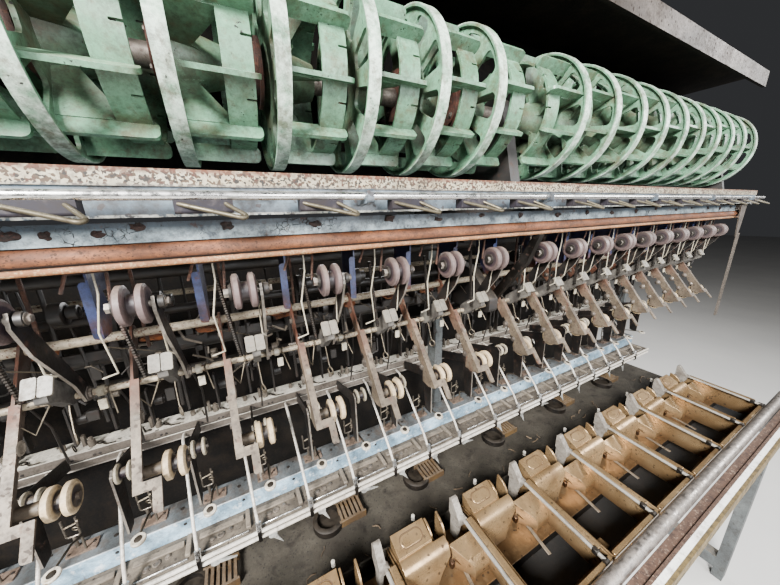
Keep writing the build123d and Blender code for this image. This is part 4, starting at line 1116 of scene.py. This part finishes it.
# Screws on the brown plates, dark plugs in the channel, and the bent bar over each stirrup with its ring
screw_places = ((-30, 143), (-20, 158), (1, 152))
plate_screws = finished(
    clutter_dark,
    *[turned((x, y, bar_top + 3), (0, 0, 1), 2.0, 1.2, sides=10) for x, y in screw_places],
    turned((30, 150, bar_top), (0, 0, 1), 3.6, 0.5, sides=12),
    turned((42, 160, bar_top), (0, 0, 1), 2.2, 0.5, sides=10),
    turned((36, bar_front, 838), (0, -1, 0), 3.0, 0.4, sides=12),
)
stirrup_bar = finished(
    bronze_wire,
    wire([(-31, 155, 896), (-13, 155, 900)], 1.6),
    turned((-13, 155, 903), (1, 0, 0), 3, 3, sides=10),
    ring((-14, 150, 893), (0.2, 1, 0.3), 4.5, 1.0),
)
repeat(joined(plate_screws, stirrup_bar), "channel_screws", stations, "frame")

# Black clips and bright sleeves on the front rods, bolts and dust-covered bars on the tray
clip_offset = 57.4
clip_margin = 30
clip_places = [x + clip_offset for x in stations if x + clip_offset + clip_margin < half_length]
clip = finished(black_cap, plate((-3.5, 55.6, 789), (3.5, 66, 815), 1.2))
sleeve = finished(bright_steel, turned((0, front_rod_y, 813), (0.02, 0.28, 1), 5, 15))
repeat(joined(clip, sleeve), "rod_clamps", clip_places, "frame")
tray_bolts = finished(
    dull_steel,
    bolt((-22, 88, tray_top), (0, 0, 1), 4, 3),
    bolt((8, 94, tray_top), (0, 0, 1), 3.4, 3),
    turned((-8, 90, tray_top), (0, 0, 1), 6, 2, dish=1),
)
tray_bar = finished(
    clutter_pale,
    plate((-44, 100, tray_top), (32, 111, tray_top + 4), 1),
    plate((36, 76, tray_top), (44, 118, tray_top + 7), 1),
)
tray_strip = finished(bright_steel, plate((-40, 71, tray_top), (40, 73, tray_top + 3)))
repeat(joined(tray_bolts, tray_bar, tray_strip), "tray_fittings", stations, "frame")

# Rusty lumps along the peeling rail
lump_places = [-988, -948, -902, -846, -770, -704, -628, -607.6, -575.3, -546.9, -476.8, -388, -291, -214]
lump_places += [-131, -44, 57, 148, 239, 340, 431, 542, 637, 748, 839, 930]
chance = random.Random(11)
lumps = []
for number, x in enumerate(lump_places):
    size = (chance.uniform(7, 15), 5, chance.uniform(5, 9))
    lumps.append(lump((x, -95.6, 1388 + chance.uniform(0, 6)), size, number + 1, 0.35))
settle(finished(lump_rust, *lumps), "rail_rust_lumps", "frame")

# Long tubes behind the wheels, each at (y, z) with its radius
tube_end = 1000
tube_runs = ((95, 1325, 10), (110, 1262, 7), (60, 1345, 6), (120, 1200, 12), (190, 1120, 9))
tubes = [turned((-tube_end, y, z), (1, 0, 0), radius, 2 * tube_end) for y, z, radius in tube_runs]
settle(finished(clutter_dark, *tubes), "rear_tubes", "frame")

# Crowded levers, discs and wires behind the wheels of each end, most of them dark and some pale with dust
chance = random.Random(23)
for number, station in enumerate(stations):
    dark = [
        turned((-20, 66, 1286), (1, 0, 0), 15, 12, dish=4),
        turned((-6, 68, 1286), (1, 0, 0), 9, 10, dish=3),
        turned((22, 84, 1232), (1, 0, 0), 12, 9, dish=3),
        plate((-44, 96, 1205), (34, 100, 1219)),
    ]
    pale = []
    for _ in range(4):
        x = chance.uniform(-52, 44)
        y = chance.uniform(84, 130)
        low, high = chance.uniform(1090, 1180), chance.uniform(1230, 1345)
        lean = chance.uniform(-9, 9)
        route = [(x, y, low), (x + lean * 0.4, y, (low + high) / 2), (x + lean, y - 4, high)]
        dark.append(wire(route, chance.uniform(1.6, 3.4)))
    for _ in range(9):
        x = chance.uniform(-48, 46)
        y = chance.uniform(58, 118)
        z = chance.uniform(1150, 1235)
        end = (x + chance.uniform(-34, 34), y + chance.uniform(-20, 10), z + chance.uniform(-34, 44))
        middle = ((x + end[0]) / 2 + chance.uniform(-9, 9), y - 6, (z + end[2]) / 2 + chance.uniform(-9, 9))
        target = pale if chance.random() < 0.45 else dark
        target.append(wire([(x, y, z), middle, end], chance.uniform(0.9, 2.2)))
    for _ in range(4):
        x = chance.uniform(-48, 40)
        y = chance.uniform(70, 125)
        z = chance.uniform(1110, 1250)
        size = (chance.uniform(4, 16), chance.uniform(3, 12), chance.uniform(6, 26))
        dark.append(plate((x, y, z), (x + size[0], y + size[1], z + size[2]), 1))
    for _ in range(2):
        x = chance.uniform(-40, 34)
        foot = (x, chance.uniform(66, 110), chance.uniform(1140, 1240))
        pale.append(turned(foot, (1, 0, 0), chance.uniform(4, 9), chance.uniform(4, 12), dish=1))
    whole = joined(
        finished(clutter_dark, *dark),
        finished(clutter_pale, *pale),
        finished(ochre_rust, lump((chance.uniform(-60, -20), 66, 1238), (34, 16, 16), number, 0.3)),
        finished(rusty_wire, plate((-33, 50, 1228), (-29, 53, 1378))),
    )
    whole.location.x = station / 1000
    select_only(whole)
    bpy.ops.object.transform_apply(location=True, rotation=False, scale=False)
    settle(whole, f"rear_levers_{number + 1:02d}", "frame")

# Four bolts on each brown disc between the reels
disc_face = 54.75
bolt_circle = 24
disc_bolts = []
for side, disc_stations in ((-1, stations[1:ends_each_side]), (1, stations[ends_each_side:-1])):
    for x in disc_stations:
        for quarter in range(4):
            angle = math.radians(45 + 90 * quarter)
            y = reel_axis[0] + bolt_circle * math.cos(angle)
            z = reel_axis[1] + bolt_circle * math.sin(angle)
            disc_bolts.append(bolt((x + side * disc_face, y, z), (side, 0, 0), 3.4, 2.4))
settle(finished(dull_steel, *disc_bolts), "disc_bolts", "reels")

# Basin: round mouths, each with a yellow strainer beside it, at (x, y) of the mouth and of the strainer
strainer_top = 727
strainer_places = (
    ((-132.6, 87), (-95, 86)),
    ((155.8, 91), (210, 100)),
    ((-640, 84), (-590, 84)),
    ((-372, 88), (-322, 88)),
    ((460, 90), (512, 96)),
    ((760, 90), (812, 96)),
)
for number, (mouth_place, (x, y)) in enumerate(strainer_places):
    mouth = finished(black_cap, turned((*mouth_place, basin_floor), (0, 0, 1), 35, 14, dish=10, sides=32))
    slats = []
    for step in range(6):
        slat_x = x - 26 + 10 * step
        slats.append(plate((slat_x, y - 22, strainer_top - 5), (slat_x + 6, y + 22, strainer_top)))
    for rim_y in (y - 26, y + 22):
        slats.append(plate((x - 30, rim_y, basin_floor), (x + 34, rim_y + 5, strainer_top)))
    settle(joined(mouth, finished(grid_yellow, *slats)), f"strainer_{number + 1}", "frame")

# Strands of waste that lie in the basin
chance = random.Random(5)
strands = []
for _ in range(46):
    x = chance.uniform(-1000, 1000)
    y = chance.uniform(-36, 40)
    heading = chance.uniform(0, 6.28)
    points = [(x, y, basin_floor + 1)]
    for _ in range(3):
        heading += chance.uniform(-0.9, 0.9)
        x += 9 * math.cos(heading)
        y = min(44, max(-40, y + 6 * math.sin(heading)))
        points.append((x, y, basin_floor + 1 + chance.uniform(0, 3)))
    strands.append(wire(points, chance.uniform(0.6, 2.0)))
settle(finished(waste_silk, *strands), "waste_strands", "frame")

# A black disc of painted shade in the mouth of each ceramic ring
eye_axis = (0, -0.174, 0.985)
ring_mouth = finished(black_cap, turned((-10.7, 66.6 - 0.51, 900.3 + 2.4), eye_axis, 5.6, 0.5, sides=24))
repeat(ring_mouth, "ring_mouths", stations, "frame")

# Feeders: the outline of each bare pad, which is two half rounds joined by straight runs on the sloping head
head_rise = 13.5
head_depth = 34
head_run = math.hypot(head_depth, head_rise)
pad_radius = 11.5
half_straight = 12
outline_points = 28
outline = []
for step in range(outline_points):
    angle = 2 * math.pi * step / outline_points
    x = math.copysign(half_straight, math.cos(angle)) + pad_radius * math.cos(angle)
    slope = pad_radius * math.sin(angle)
    outline.append((-111 + x, -97 + slope * head_depth / head_run, 821.5 + slope * head_rise / head_run))
pad_line = finished(feeder_line, wire(outline, 0.5, closed=True))

# Feeders: a block in the corner and a strip on the outer wall, latch, arm strip and clip, and the peg behind
tray_trim = finished(
    gold,
    plate((-133, -264, 750), (-107, -246, 768), 1),
    plate((-146, -287, 800.2), (16, -280, 802.2), 0.8),
)
latch_x = -46.5
latch_run = ((-122, 800), (-132, 792), (-136, 776), (-128, 764), (-118, 770))
latch = finished(
    dark_bronze,
    wire([(latch_x, y, z) for y, z in latch_run], 1.3),
    plate((-50, -142, 754), (-42, -132, 768), 1),
    wire([(-43, -138, 772), (-30, -150, 760)], 1.2),
)
arm_strip = finished(lever_grey, plate((-3.5, -34, 0), (3.5, 34, 2), 0.5))
arm_strip.rotation_euler = (0, 0, math.radians(-9))
arm_strip.location = (-0.031, -0.178, 0.7482)
select_only(arm_strip)
bpy.ops.object.transform_apply(location=True, rotation=True, scale=True)
wall_clip = finished(
    black_cap,
    plate((-5, -272, 800), (5, -262, 811), 1.5),
    turned((-5, -284, 803), (1, 0, 0), 5, 10),
    plate((6, -268, 798), (16, -262, 808), 1),
)
feeder_set = joined(pad_line, tray_trim, latch, arm_strip, wall_clip)
repeat(feeder_set, "feeder_fittings", caps, "feeders")
peg_y = -43
peg_offset = -73
peg = finished(white_cap, turned((0, peg_y, 778), (0, 0, 1), 3.6, 11))
peg_post = finished(
    dark_steel,
    turned((0, peg_y, 745), (0, 0, 1), 1.8, 34),
    plate((-6, peg_y - 3, 738), (6, peg_y + 3, 746), 1),
)
repeat(joined(peg, peg_post), "pegs", [x + peg_offset for x in caps], "frame")

# Studio: floor, lights and the camera at the photograph's place
clear_selection()
bpy.ops.mesh.primitive_plane_add(size=40, location=(0, 0, 0))
floor = bpy.context.object
floor.name = "studio_floor"
floor_finish = Finish("studio_floor_paint", (0.60, 0.595, 0.585), 0.8)
floor_finish.layer(floor_finish.ramp(floor_finish.noise(1.5, 3), 0.3, 0.7), (0.64, 0.635, 0.62))
coat(floor, floor_finish.done(grime=0))


def area_light(name, place, target, size, power, colour=(1, 1, 1)):
    light = bpy.data.lights.new(name, "AREA")
    light.energy = power
    light.color = colour
    light.shape = "DISK"
    light.size = size
    holder = bpy.data.objects.new(name, light)
    bpy.context.scene.collection.objects.link(holder)
    holder.location = place
    holder.rotation_euler = (Vector(target) - Vector(place)).to_track_quat("-Z", "Y").to_euler()


area_light("window_left", (-2.2, -1.9, 2.8), (0.0, 0, 1.2), 1.0, 780, (1.0, 0.985, 0.96))
area_light("soft_front", (0.5, -2.5, 1.9), (0.1, 0, 1.0), 1.5, 140, (0.97, 0.98, 1.0))
area_light("soft_right", (3.0, -1.5, 2.4), (0.6, 0, 1.0), 1.2, 95)
area_light("soft_back", (1.0, 3.2, 2.3), (0, 0.2, 1.0), 1.6, 200)

world = bpy.data.worlds.new("studio")
world.use_nodes = True
background = world.node_tree.nodes["Background"]
background.inputs["Color"].default_value = (0.9, 0.93, 1.0, 1)
background.inputs["Strength"].default_value = 0.035
bpy.context.scene.world = world

camera_right = Vector((0.8822, -0.4703, -0.0242))
camera_up = Vector((0.1444, 0.2212, 0.9645))
camera_back = Vector((-0.4483, -0.8543, 0.2631))
camera_place = Vector((-0.474, -0.440, 1.400))
camera_data = bpy.data.cameras.new("photo_camera")
camera_data.sensor_width = 36
camera_data.lens = 13.52
camera_data.clip_start = 0.01
camera = bpy.data.objects.new("photo_camera", camera_data)
bpy.context.scene.collection.objects.link(camera)
camera_turn = Matrix((camera_right, camera_up, camera_back)).transposed().to_4x4()
camera.matrix_world = Matrix.Translation(camera_place) @ camera_turn
bpy.context.scene.camera = camera
